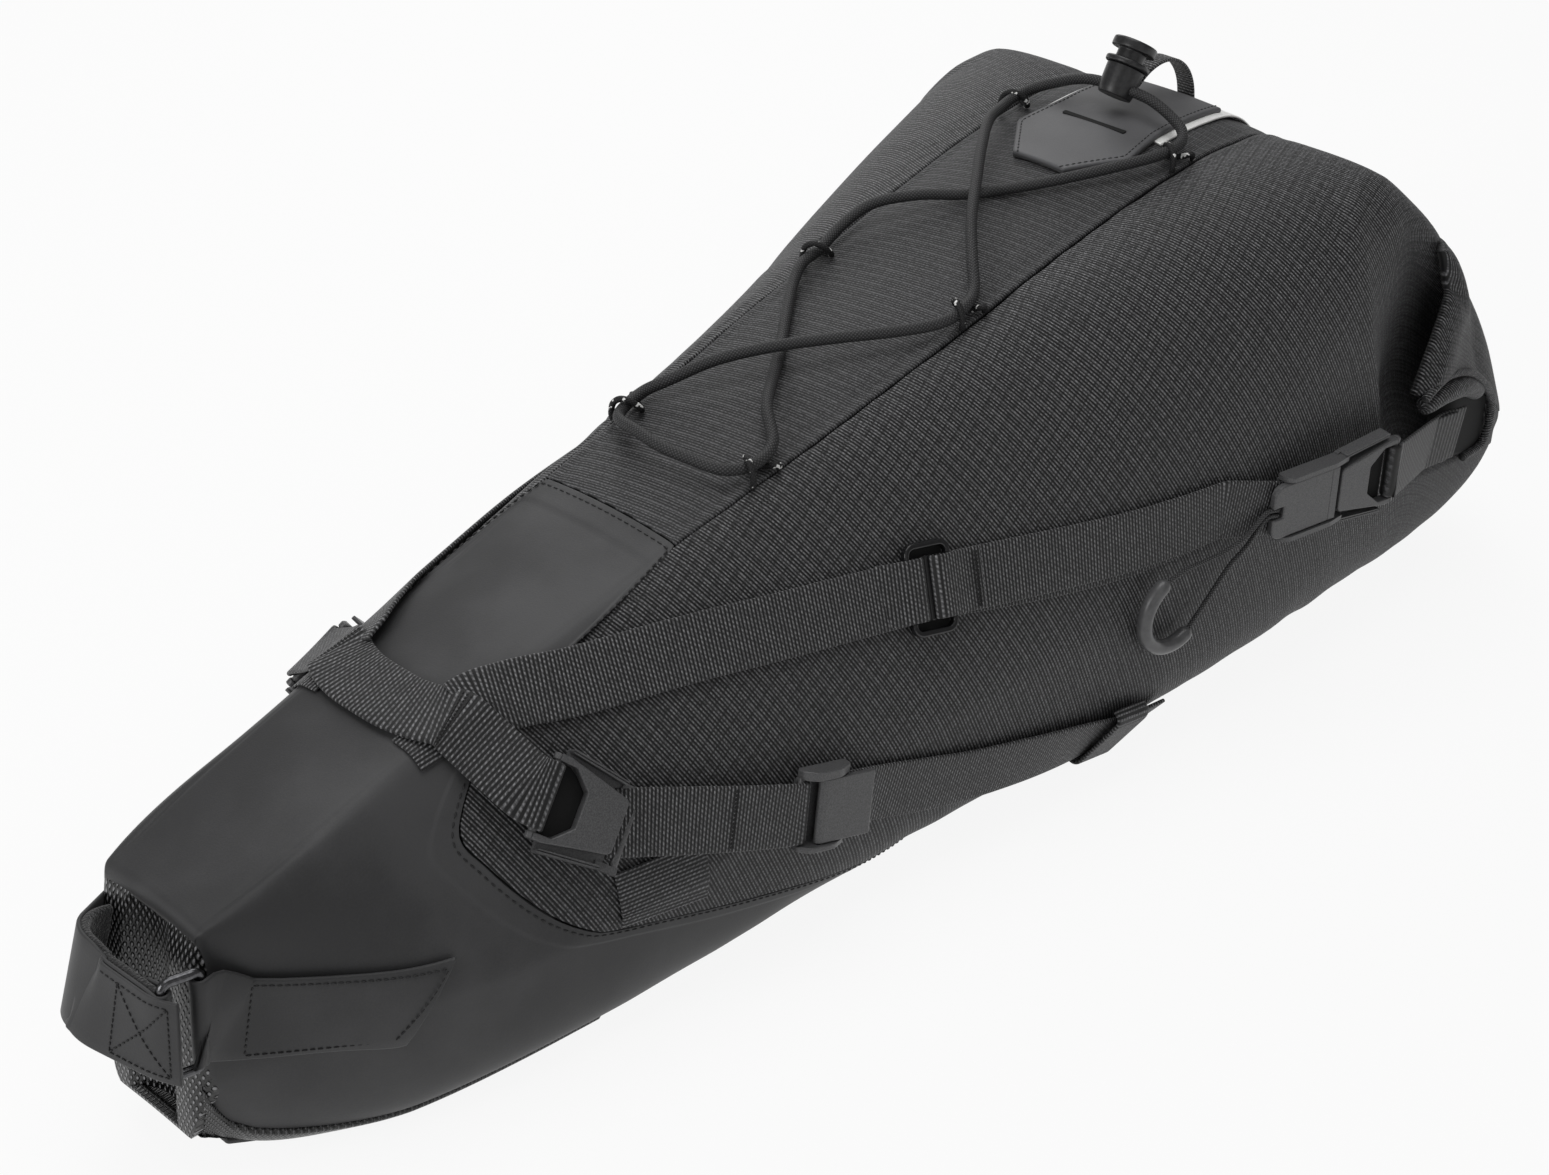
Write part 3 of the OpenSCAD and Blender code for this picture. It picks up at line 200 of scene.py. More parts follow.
# %% [markdown]
# ## Small tools for meshes
# Three builders make nearly every piece: a sheet with two faces and a rim, a profile carried
# along a path, and plates with bevelled edges. Sheets and carried profiles also write a UV map
# in metres, so that a weave can be given its thread spacing in millimetres.

# %% Mesh tools
def add_piece(name, points, faces, uv=None, side=1, smooth=True):
    """Mesh object from points in mm. uv holds one pair for each face corner, in metres.
    side -1 mirrors the piece to the rider's right and turns its faces round."""
    points = to_row(points)
    faces = [list(f) for f in faces]
    if side < 0:
        points = points * [1, -1, 1]
        faces = [f[::-1] for f in faces]
    mesh = bpy.data.meshes.new(name)
    mesh.from_pydata(points.tolist(), [], faces)
    if uv is not None:
        if side < 0:
            ends = np.cumsum([len(f) for f in faces])
            uv = np.concatenate([uv[e - len(f):e][::-1] for e, f in zip(ends, faces)])
        mesh.uv_layers.new(name="metres").data.foreach_set("uv", np.asarray(uv, float).ravel())
    mesh.polygons.foreach_set("use_smooth", [smooth] * len(mesh.polygons))
    mesh.update()
    piece = bpy.data.objects.new(name, mesh)
    bpy.context.scene.collection.objects.link(piece)
    return piece


def lengths(path):
    """Length along a path up to each of its points."""
    return np.concatenate([[0], np.cumsum(np.linalg.norm(np.diff(path, axis=0), axis=1))])


def grid_faces(rows, cols, wrap):
    """Quads of a grid as corner rows and corner columns; they face (across) x (along)."""
    i, j = (a.ravel() for a in np.meshgrid(np.arange(rows - 1), np.arange(cols - (not wrap)),
                                           indexing="ij"))
    return np.stack([i, i, i + 1, i + 1], 1), np.stack([j, j + 1, j + 1, j], 1)


def carried(name, rings, along, around, side=1):
    """Closed piece from rings[i, k], a profile carried along a path. along[i] and around[k]
    are its UV in mm; around has one value more than the ring, for the corner that closes it."""
    rows, cols = rings.shape[:2]
    ci, cj = grid_faces(rows, cols, True)
    faces = (ci * cols + cj % cols).tolist()
    uv = np.stack([along[ci], around[cj]], -1).reshape(-1, 2) * MM
    ring = np.arange(cols)
    faces += [ring[::-1].tolist(), (ring + (rows - 1) * cols).tolist()]
    uv = np.concatenate([uv, np.zeros((2 * cols, 2))])
    return add_piece(name, rings.reshape(-1, 3), faces, uv, side)


def sheet_piece(name, outer, inner, uv, side=1):
    """Closed sheet between two grids with the same rows and columns, with a rim all round."""
    rows, cols = outer.shape[:2]
    n = rows * cols
    ci, cj = grid_faces(rows, cols, False)
    quads = ci * cols + cj
    ids = np.arange(n).reshape(rows, cols)
    edge = np.concatenate([ids[0, :-1], ids[:-1, -1], ids[-1, :0:-1], ids[:0:-1, 0]])
    after = np.roll(edge, -1)
    rim = np.stack([edge, edge + n, after + n, after], 1)
    faces = np.concatenate([quads, quads[:, ::-1] + n, rim])
    flat = np.concatenate([uv.reshape(-1, 2)] * 2) * MM
    return add_piece(name, np.concatenate([outer.reshape(-1, 3), inner.reshape(-1, 3)]),
                     faces, flat[faces].reshape(-1, 2), side)


def smooth_path(points, steps=8):
    """Catmull-Rom curve through the points: cubic pieces whose slopes come from neighbours."""
    p = np.asarray(points, float)
    ends = np.concatenate([[2 * p[0] - p[1]], p, [2 * p[-1] - p[-2]]])
    w = (np.arange(steps) / steps)[None, :, None]
    a, b, c, d = (ends[k:len(ends) - 3 + k, None] for k in range(4))
    body = 0.5 * (2 * b + (c - a) * w + (2 * a - 5 * b + 4 * c - d) * w**2
                  + (3 * b - a - 3 * c + d) * w**3)
    return np.concatenate([body.reshape(-1, p.shape[1]), p[-1:]])


def even(path, spacing):
    """The same path with points a fixed distance apart; columns after the third go along."""
    s = lengths(path[:, :3])
    wanted = np.linspace(0, s[-1], max(int(round(s[-1] / spacing)), 2) + 1)
    return np.stack([np.interp(wanted, s, path[:, k]) for k in range(path.shape[1])], 1)


def tube(name, path, radius, sides=14, side=1):
    """Round tube: each ring's first direction is the last one's, turned as little as needed."""
    way = unit(np.gradient(path, axis=0))
    first = np.empty_like(path)
    guess = np.cross(way[0], [0, 0, 1]) if abs(way[0, 2]) < 0.9 else np.cross(way[0], [1, 0, 0])
    for k, w in enumerate(way):
        guess = guess - (guess @ w) * w
        guess = first[k] = guess / np.linalg.norm(guess)
    second = np.cross(way, first)
    angle = np.arange(sides) / sides * 2 * math.pi
    r = np.broadcast_to(radius, len(path))[:, None, None]
    rings = path[:, None] + r * (np.cos(angle)[None, :, None] * first[:, None]
                                 + np.sin(angle)[None, :, None] * second[:, None])
    around = np.arange(sides + 1) / sides * 2 * math.pi * np.max(radius)
    return carried(name, rings, lengths(path), around, side)


# bend of a sewn patch across its width, 1 / (2 x 73.5 mm)
CROWN = 0.0068
FLATS = 8


def end_share(along, whole, slant):
    """0 until three slants before the end of a strap, then rising evenly to 1 at its end."""
    return np.clip((along - whole) / (3 * abs(slant)) + 1, 0, 1)


def ribbon(name, centres, normals, width, thick, side=1, slant=0):
    """Webbing: a flat profile with round edges carried along centres, standing on them.
    Across = normal x way; the profile runs over the top and back underneath. With slant, the
    far end is cut slantwise: the low edge slides back along the way by the whole slant, and
    both edges bend down round the bag by CROWN x (distance from the middle) squared."""
    way = unit(np.gradient(centres, axis=0))
    across = unit(np.cross(normals, way))
    up = np.cross(way, across)
    widest, r = np.max(width), thick / 2
    share = (np.broadcast_to(width, len(centres)) / widest)[:, None, None]
    bend = np.linspace(-math.pi / 2, math.pi / 2, 6)
    edge = widest / 2 - r
    top = np.linspace(edge, -edge, FLATS + 1)[1:-1]
    a = np.concatenate([edge + r * np.cos(bend), top, -edge - r * np.cos(bend), -top])
    b = np.concatenate([r + r * np.sin(bend), 0 * top + thick, r - r * np.sin(bend), 0 * top])
    rings = (centres[:, None] + share * a[None, :, None] * across[:, None]
             + b[None, :, None] * up[:, None])
    along = lengths(centres)
    if slant:
        late = end_share(along, along[-1], slant)[:, None]
        pull, sag = slant * late * (a / widest - 0.5), CROWN * late * a**2
        rings = rings + pull[..., None] * way[:, None] - sag[..., None] * up[:, None]
    return carried(name, rings, along, np.append(a, a[0]), side)


def skin_frame(u, t, du, dt, off):
    """4x4 frame of a fitting on the cloth: x points along the strap, y across, z out."""
    n = skin_out(u, t)
    d = skin(u + du, t + dt) - skin(u - du, t - dt)
    a = unit(d - (d @ n) * n)
    m = np.eye(4)
    m[:3] = np.column_stack([a, np.cross(n, a), n, skin(u, t) + off * n])
    return m


def place(m, points):
    """Points of a fitting's own frame, moved into the bag's."""
    return np.asarray(points, float) @ m[:3, :3].T + m[:3, 3]


def plates(name, m, slabs, side=1, bevel=0.5, segments=2):
    """Moulded part with every edge bevelled. A slab is an outline in x, y and two heights, or
    with "y" after them an outline in x, z and its two ends across the fitting."""
    points, faces, count = [], [], 0
    for outline, low, high, *across in slabs:
        o = np.asarray(outline, float)
        twice_area = np.sum(o[:, 0] * np.roll(o[:, 1], -1) - o[:, 1] * np.roll(o[:, 0], -1))
        o = o if twice_area > 0 else o[::-1]
        n = len(o)
        k = np.arange(n)
        if across:
            low, high = high, low
        ends = [np.column_stack([o, np.full(n, h)]) for h in (low, high)]
        points += [e[:, [0, 2, 1]] for e in ends] if across else ends
        faces += [(count + k[::-1]).tolist(), (count + n + k).tolist()]
        faces += np.stack([count + k, count + np.roll(k, -1), count + n + np.roll(k, -1),
                           count + n + k], 1).tolist()
        count += 2 * n
    piece = add_piece(name, place(m, np.concatenate(points)), faces, None, side, smooth=False)
    cut = piece.modifiers.new("edges", "BEVEL")
    cut.width = bevel * MM
    cut.segments = segments
    cut.limit_method = "ANGLE"
    cut.angle_limit = math.radians(32)
    cut.harden_normals = True
    return piece


def arc(cx, cy, r, start, end, n=8):
    """Points of a circular arc, angles in degrees."""
    a = np.radians(np.linspace(start, end, n))
    return np.column_stack([cx + r * np.cos(a), cy + r * np.sin(a)])


def filleted(corners, n=6):
    """Outline whose corners (x, y, r) are rounded: an arc of radius r touches both sides."""
    c = np.asarray(corners, float)
    points = []
    for p, r, a, b in zip(c[:, :2], c[:, 2], np.roll(c, 1, 0)[:, :2], np.roll(c, -1, 0)[:, :2]):
        to_a, to_b = unit(a - p), unit(b - p)
        half = math.acos(np.clip(to_a @ to_b, -1, 1)) / 2
        if r <= 0 or half > 1.56:
            points.append(p[None])
            continue
        centre = p + unit(to_a + to_b) * r / math.sin(half)
        v0, v1 = p + to_a * r / math.tan(half) - centre, p + to_b * r / math.tan(half) - centre
        turn, w = math.pi - 2 * half, np.linspace(0, 1, n)[:, None]
        points.append(centre + (np.sin((1 - w) * turn) * v0 + np.sin(w * turn) * v1) / math.sin(turn))
    return np.concatenate(points)


def thread(name, runs, pitch=3.4, length=2.5, r=0.42, side=1):
    """Sewn stitches: one small spindle of 16 faces at each pitch along every run of points.
    A run is (path, normals), and each spindle lies with its middle on the path."""
    turn = np.arange(4) * math.pi / 2
    x = np.array([-0.5, -0.3, 0.0, 0.3, 0.5])
    fat = np.array([0.0, 0.8, 1.0, 0.8, 0.0])
    ring = np.stack([np.broadcast_to(x[1:4, None], (3, 4)), fat[1:4, None] * np.cos(turn),
                     fat[1:4, None] * np.sin(turn)], -1).reshape(-1, 3)
    base = np.concatenate([[[x[0], 0, 0]], ring, [[x[4], 0, 0]]]) * [length, r, r]
    k = np.arange(4)
    nxt = (k + 1) % 4
    side_quads = np.concatenate([np.stack([1 + 4 * b + k, 1 + 4 * b + nxt, 5 + 4 * b + nxt,
                                           5 + 4 * b + k], 1)[:, ::-1] for b in (0, 1)])
    first = np.stack([0 * k, 1 + nxt, 1 + k], 1)[:, ::-1]
    end = np.stack([0 * k + 13, 9 + k, 9 + nxt], 1)[:, ::-1]
    points, faces, count = [], [], 0
    for path, normals in runs:
        both = even(np.concatenate([path, normals], 1), pitch)
        c, n = (both[1:] + both[:-1])[:, :3] / 2, unit((both[1:] + both[:-1])[:, 3:])
        d = unit(both[1:, :3] - both[:-1, :3])
        p = (c[:, None] + base[None, :, :1] * d[:, None]
             + base[None, :, 1:2] * np.cross(n, d)[:, None] + base[None, :, 2:] * n[:, None])
        start = (count + 14 * np.arange(len(c)))[:, None, None]
        faces += [f for part in (side_quads, first, end)
                  for f in (part[None] + start).reshape(-1, part.shape[1]).tolist()]
        points.append(p.reshape(-1, 3))
        count += 14 * len(c)
    return add_piece(name, np.concatenate(points), faces, None, side)


print("mesh tools ready")

# %% [markdown]
# ## Finishes
# Every material is made from nodes. A colour is written as the hex value that the eye sees and
# is turned to linear light once. Weaves are built from sine waves in the piece's own UV map,
# which is in metres, so that a thread spacing in millimetres is a plain number.

# %% Material tools
def linear(code):
    """sRGB hex to linear light: c/12.92 below 0.04045, else ((c + 0.055) / 1.055)^2.4."""
    c = np.array([int(code[k:k + 2], 16) for k in (1, 3, 5)]) / 255
    return (*np.where(c <= 0.04045, c / 12.92, ((c + 0.055) / 1.055) ** 2.4).tolist(), 1.0)


def add(tree, kind, inputs=None, **settings):
    """Adds one node. inputs maps a socket to a value or to the output that feeds it."""
    made = tree.nodes.new("ShaderNode" + kind)
    for key, value in settings.items():
        setattr(made, key, value)
    for key, value in (inputs or {}).items():
        if isinstance(value, bpy.types.NodeSocket):
            tree.links.new(value, made.inputs[key])
        else:
            made.inputs[key].default_value = value
    return made


def new_material(name, roughness, **constants):
    """Empty material with a principled shader; constants are set on the shader's own sockets."""
    material = bpy.data.materials.new(name)
    material.use_nodes = True
    tree = material.node_tree
    shader = tree.nodes["Principled BSDF"]
    shader.inputs["Roughness"].default_value = roughness
    for key, value in constants.items():
        shader.inputs[key.replace("_", " ")].default_value = value
    return material, tree, shader


def wave(tree, value, period):
    """0.5 + 0.5 sin(2 pi value / period), value in metres and period in mm."""
    phase = multiply_add(tree, value, 2 * math.pi / (period * MM), 0.0)
    return multiply_add(tree, add(tree, "Math", {0: phase}, operation="SINE").outputs[0], 0.5, 0.5)


def times(tree, a, b):
    """Product of two values."""
    return add(tree, "Math", {0: a, 1: b}, operation="MULTIPLY").outputs[0]


def multiply_add(tree, a, b, c):
    """a times b plus c."""
    return add(tree, "Math", {0: a, 1: b, 2: c}, operation="MULTIPLY_ADD").outputs[0]


def spread(tree, value, low, high, to_low=0.0, to_high=1.0):
    """value mapped smoothly from low..high to to_low..to_high."""
    return add(tree, "MapRange", {"Value": value, "From Min": low, "From Max": high,
                                  "To Min": to_low, "To Max": to_high},
               interpolation_type="SMOOTHSTEP").outputs[0]


def colour_and_painted_light(tree, shader, amount, dark, light):
    """Colour of the shader between two hex values, by amount; where the amount follows a weave's height,
    this paints highlight and shade.
    """
    mix = add(tree, "Mix", {"Factor": amount, "A": linear(dark), "B": linear(light)}, data_type="RGBA")
    tree.links.new(mix.outputs["Result"], shader.inputs["Base Color"])


def embossed(tree, shader, height, depth):
    """Bump from a height of 0 to 1, depth in mm."""
    bump = add(tree, "Bump", {"Height": height, "Distance": depth * MM, "Strength": 1.0})
    tree.links.new(bump.outputs["Normal"], shader.inputs["Normal"])


def map_axes(tree, turn=0.0):
    """The two UV values in metres, turned by an angle in degrees."""
    uv = add(tree, "UVMap", uv_map="metres").outputs[0]
    turned = add(tree, "VectorRotate", {"Vector": uv, "Angle": math.radians(turn)},
                 rotation_type="Z_AXIS").outputs[0]
    split = add(tree, "SeparateXYZ", {0: turned})
    return split.outputs[0], split.outputs[1]


def noise(tree, scale, detail):
    """Value of a noise; scale is in cells per metre of Object coordinates."""
    where = add(tree, "TexCoord").outputs["Object"]
    return add(tree, "TexNoise", {"Vector": where, "Scale": scale, "Detail": detail}).outputs[0]


# %% [markdown]
# ### Woven polyester with a ripstop grid
# The panels are a polyester ripstop: fine ribs of yarn with a thicker thread every few
# millimetres, and a line across them at the same distance. The real ribs stand about 0.9 mm
# apart; they are drawn at 1.3 mm so that they still show from a metre away. The yarn catches the
# light on top of each rib and is dark between them, so colour and bump follow the same wave.
# On the side panels the cloth is cut on the bias.

# %% Ripstop cloth
# spacing in mm of the ribs, of the thicker threads and of the knots along a rib
RIB, GRID = 1.3, 5.2
KNOT = 1.3 * RIB


def ripstop(name, turn, dark, light, grid_gain, cross_loss):
    """Ribs broken into knots; every few millimetres a thicker thread along them, which adds
    grid_gain, and a line across them, which takes away cross_loss (or adds it, if negative)."""
    material, tree, shader = new_material(name, 0.6, Specular_IOR_Level=0.35, Sheen_Weight=0.05,
                                          Sheen_Roughness=0.5)
    x, y = map_axes(tree, turn)
    ribs = spread(tree, wave(tree, x, RIB), 0.35, 1.0)
    knots = spread(tree, wave(tree, y, KNOT), 0.0, 0.7, 0.55, 1.0)
    cross = spread(tree, wave(tree, y, GRID), 0.8, 1.0, 1.0, 1.0 - cross_loss)
    yarn = times(tree, times(tree, ribs, knots), cross)
    thick = spread(tree, wave(tree, x, GRID), 0.93, 1.0)
    height = multiply_add(tree, thick, grid_gain, yarn)
    uneven = spread(tree, noise(tree, 1100.0, 3.0), 0.34, 0.66, 0.35, 1.15)
    # colour follows the rib height: painted highlight on the rib tops, painted shade between them; the noise
    # is uneven tone
    colour_and_painted_light(tree, shader, times(tree, height, uneven), dark, light)
    embossed(tree, shader, height, 0.3)
    return material


side_cloth = ripstop("polyester_ripstop_sides", 21.0, "#060607", "#8a8a8c", 0.2, 0.5)
top_cloth = ripstop("polyester_ripstop_top", 8.0, "#171718", "#69696b", 0.6, -0.3)

# %% [markdown]
# ### Coated laminate
# The hood and floor are a fabric coated with soft polyurethane: no weave shows, only a very
# fine grain, a dull sheen, and cloudy marks where it has been handled.

# %% Coated cloth
def coated(name, dark, light):
    """Smooth coating: cloudy tone from a wide noise, fine grain from a narrow one."""
    material, tree, shader = new_material(name, 0.56, Specular_IOR_Level=0.42,
                                          Sheen_Weight=0.12, Sheen_Roughness=0.4)
    cloud = spread(tree, noise(tree, 14.0, 5.0), 0.3, 0.7)
    grain = noise(tree, 1500.0, 3.0)
    tone = multiply_add(tree, grain, 0.5, cloud)
    colour_and_painted_light(tree, shader, spread(tree, tone, 0.1, 1.3), dark, light)
    embossed(tree, shader, grain, 0.05)
    return material


hood_cloth_finish = coated("polyurethane_coated_hood", "#2c2c2d", "#424243")
patch_finish = coated("coated_patch", "#434344", "#58585a")

# %% [markdown]
# ### Webbing, cord and thread
# Webbing shows crosswise ribs, each a row of short dashes that shift by half a dash from rib to
# rib; the bright of the dashes is a painted highlight on black yarn. Real ribs stand about 1 mm
# apart; they are drawn at 1.5 to 1.7 mm, and at 3 mm on the tabs of the tail, so that they still
# show. Cord has a braided sheath, a lattice of two helices.

# %% Webbing, cords and thread
DASH = 1.24


def webbing(name, rib, dark, light, depth=0.45):
    """Ribs across the strap (U runs along it), broken along V into dashes of DASH ribs each."""
    material, tree, shader = new_material(name, 0.58, Specular_IOR_Level=0.4, Sheen_Weight=0.1,
                                          Sheen_Roughness=0.5)
    x, y = map_axes(tree)
    ribs = spread(tree, wave(tree, x, rib), 0.3, 1.0)
    shifted = multiply_add(tree, x, DASH / 2, y)
    dashes = spread(tree, wave(tree, shifted, DASH * rib), 0.1, 0.8, 0.35, 1.0)
    yarn = times(tree, ribs, dashes)
    uneven = spread(tree, noise(tree, 900.0, 3.0), 0.34, 0.66, 0.4, 1.15)
    # colour follows the rib height: painted highlight on the dashes, dark between them
    colour_and_painted_light(tree, shader, times(tree, yarn, uneven), dark, light)
    embossed(tree, shader, yarn, depth)
    return material


def crossed(tree, slope, period):
    """Product of two waves that run slantwise to each other, x + slope y and x - slope y."""
    x, y = map_axes(tree)
    return times(tree, *(wave(tree, multiply_add(tree, y, way * slope, x), period) for way in (1, -1)))


def braid(name, dark, light, lead, fleck=None):
    """Braided sheath: two sets of helices whose crossings make small diamonds; light flecks
    of yarn where fleck is given."""
    material, tree, shader = new_material(name, 0.6, Specular_IOR_Level=0.35)
    plait = crossed(tree, 1.0, lead)
    colour_and_painted_light(tree, shader, plait, dark, light)
    embossed(tree, shader, plait, 0.2)
    if fleck:
        spots = spread(tree, noise(tree, 420.0, 1.0), 0.62, 0.66)
        base = shader.inputs["Base Color"].links[0].from_socket
        mix = add(tree, "Mix", {"Factor": spots, "A": base, "B": linear(fleck)}, data_type="RGBA")
        tree.links.new(mix.outputs["Result"], shader.inputs["Base Color"])
    return material


strap_webbing = webbing("polyester_webbing", 1.5, "#060607", "#8f8f91")
rail_webbing = webbing("polyester_webbing_coarse", 1.7, "#0b0b0c", "#8b8b8d", 0.6)
cord_sheath = braid("braided_shock_cord", "#1d1d1e", "#505051", 1.5)
loop_sheath = braid("braided_loop_cord", "#0f0f10", "#2e2e2f", 1.2, "#f2f2f0")
tab_webbing = webbing("polyester_webbing_tail", 3.0, "#040404", "#505052", 0.5)
thin_sheath = braid("braided_pull_cord", "#161617", "#6c6c6d", 1.3)


def plain_finish(name, dark, light, roughness, grain=1400.0, depth=0.03, **constants):
    """Moulded, drawn or cut surface: a noise of the given grain sets tone and bump."""
    material, tree, shader = new_material(name, roughness, **constants)
    fine = noise(tree, grain, 3.0)
    colour_and_painted_light(tree, shader, spread(tree, fine, 0.3, 0.7), dark, light)
    embossed(tree, shader, fine, depth)
    return material


sewing_thread = plain_finish("bonded_polyester_thread", "#0a0a0b", "#1d1d1e", 0.55)
# near-black finish of painted shade, for the plates and sheets put into openings, holes and slits
painted_shade_finish = plain_finish("painted_shade_inside", "#060606", "#0b0b0c", 0.9)
inner_cloth = plain_finish("lining_cloth", "#0b0b0c", "#151516", 0.8, 500.0)

# %% [markdown]
# ### Mouldings, metal, mesh and the rest
# Buckles are acetal with a spark-eroded grain that breaks the highlights into a fine sparkle.
# The grips are soft vinyl with a smooth, half gloss skin. The ring is steel wire plated with
# black nickel. The pad is spacer mesh: rows of knitted loops over black foam, their tops painted bright as a
# painted highlight.

# %% Mouldings, metal, mesh
buckle_plastic = plain_finish("acetal_spark_grain", "#434344", "#5b5b5c", 0.4, 1900.0, 0.05,
                              Specular_IOR_Level=0.5)
slider_plastic = plain_finish("acetal_gloss", "#0e0e0f", "#18181a", 0.2, 900.0, 0.01)
lock_plastic = plain_finish("nylon_satin", "#1c1c1d", "#2a2a2b", 0.36, 700.0, 0.01)
grip_vinyl = plain_finish("vinyl_half_gloss", "#4e4e4f", "#5a5a5b", 0.33, 300.0, 0.01)
ring_nickel = plain_finish("black_nickel_wire", "#4c4c4e", "#626264", 0.26, 600.0, 0.004,
                           Metallic=1.0)
reflective = plain_finish("glass_bead_film", "#e2e2df", "#f4f4f2", 0.35, 2400.0, 0.02,
                          Sheen_Weight=0.2)
stiff_sheet = plain_finish("polyethylene_sheet", "#141415", "#1e1e1f", 0.45, 120.0, 0.05)
pile = plain_finish("hook_and_loop_pile", "#0c0c0d", "#2b2b2c", 0.95, 1100.0, 0.9,
                    Sheen_Weight=0.35)


def spacer_mesh(name, pitch, dark, light, depth):
    """Knitted mesh: offset rows of round loops with deep holes between them."""
    material, tree, shader = new_material(name, 0.34, Specular_IOR_Level=0.6)
    loops = crossed(tree, 0.5, pitch)
    # loop tops painted bright as a painted highlight; the dark between them is the black foam and painted
    # shade in the holes
    colour_and_painted_light(tree, shader, spread(tree, loops, 0.25, 0.95), dark, light)
    embossed(tree, shader, spread(tree, loops, 0.0, 0.7), depth)
    return material


pad_mesh = spacer_mesh("spacer_mesh_pad", 2.3, "#020202", "#8c8c8e", 0.8)
binding_mesh = spacer_mesh("knitted_binding", 1.6, "#040404", "#5c5c5e", 0.6)
print("finishes:", len(bpy.data.materials))


def dress(piece, material, body, slot, *nodes):
    """Gives a piece its finish and the body that it rides on, and hides the solids it covers; slot is not
    used.
    """
    piece.data.materials.clear()
    piece.data.materials.append(material)
    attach(piece, body)
    if nodes:
        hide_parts(*nodes)
    return piece


# %% [markdown]
# ## Cloth panels
# Each panel is a sheet over a patch of the body's surface. A form function gives its height
# over that surface in millimetres: grooves at the seams, rounded lips, the hem of the hood,
# and the soft hollows between the places where straps pull. Rows stand closer together near
# the ends, where the lips curl in.

# %% Panels
CLOTH_T, LIP_R = 2.0, 4.6
T_GAP, U_GAP = 0.5 / T_MM, 0.5 / BAG_LEN
edge_curve = smooth_path(HOOD_EDGE[1:], 6)
edge_curve = edge_curve[np.argsort(edge_curve[:, 0])]


def hood_end(t):
    """Rear edge of the hood with its corners smoothed."""
    return np.interp(np.abs(t), edge_curve[:, 0], edge_curve[:, 1])


def near(value, centre, width):
    """Bell curve: 1 at the centre, 1/e at one width from it."""
    return np.exp(-((value - centre) / width) ** 2)


def gate(value, start, end):
    """Smooth step from 0 at start to 1 at end."""
    w = np.clip((value - start) / (end - start), 0, 1)
    return w * w * (3 - 2 * w)


def waves(x, y, seeds):
    """Slow uneven form between -1 and 1: the mean of crossed sine waves."""
    total = 0
    for k, s in enumerate(seeds):
        long, wide = 17 + 9 * (k % 3), 13 + 7 * ((k + 1) % 3)
        total = total + np.sin(x / long + s) * np.cos(y / wide - 2 * s)
    return total / len(seeds)


def lip(distance, radius):
    """How far a rounded edge falls at a distance from its end: a quarter circle."""
    d = np.clip(distance / radius, 0, 1)
    return radius * (np.sqrt(np.maximum(1 - (1 - d) ** 2, 0)) - 1)


def tucked(u, t):
    """How far the lower corner of the nose is drawn in, in mm."""
    return 5.0 * near(u, LIP_U, 0.022) * gate(np.abs(t), 2.2, 2.5)


def panel(name, u, t, form, thick=CLOTH_T, side=1):
    """Sheet over a grid of u (rows) and t (columns), at the height form above the surface."""
    n = skin_out(u, t)
    outer = skin(u, t) + n * form[..., None]
    return sheet_piece(name, outer, outer - n * thick, cloth_uv(u, t), side)


def grid(rows, start, end, columns):
    """u and t of a grid: rows from start to end (either may differ from column to column) that
    stand closer together at both ends, and one column for each value of t."""
    w = (1 - np.cos(np.linspace(0, math.pi, rows))) / 2
    t = np.asarray(columns)[None, :]
    u = start + 0 * t + (end - start) * w[:, None]
    return u, np.broadcast_to(t, u.shape)


# the hood: a rolled lip at the nose, a hem, shallow hollows and a line along the top seams
columns = np.linspace(-(T_FLOOR - T_GAP), T_FLOOR - T_GAP, 261)
u, t = grid(110, LIP_U, hood_end(columns) - U_GAP, columns)
from_lip, from_hem = (u - LIP_U) * BAG_LEN, (hood_end(t) - u) * BAG_LEN
from_floor = (T_FLOOR - np.abs(t)) * T_MM
form = lip(from_lip, LIP_R) + lip(from_hem, 0.8) - 0.35 * gate(from_hem, 11, 13)
form = form + lip(from_floor, 1.2) - 0.4 * near(from_floor, 4, 2)
hollows = gate(np.abs(waves(u * BAG_LEN, t * 60, (0.3, 1.9, 4.1, 5.2))), 0.2, 0.8)
form = form - 0.9 * hollows * gate(from_lip, 10, 40) * gate(from_hem, 12, 30)
form = form - 0.5 * near(np.abs(t), 1.0, 0.05) * gate(from_lip, 4, 25) - tucked(u, t)
dress(panel("hood_panel_cloth", u, t, form), hood_cloth_finish, "bag", "coated_cloth", "hood_panel")

# the floor, whose columns run from the left seam under the bag to the right one
BASE_U = 0.006
columns = np.linspace(T_FLOOR + T_GAP, 6 - T_FLOOR - T_GAP, 91)
u, w = grid(200, BASE_U, MOUTH_U, columns)
from_edge = (3 - T_FLOOR - np.abs(w - 3)) * T_MM
form = lip((u - BASE_U) * BAG_LEN, 1.2) + lip(from_edge, 1.2)
dress(panel("base_panel_cloth", u, np.where(w > 3, w - 6, w), form), hood_cloth_finish, "bag",
      "coated_cloth", "base_panel")

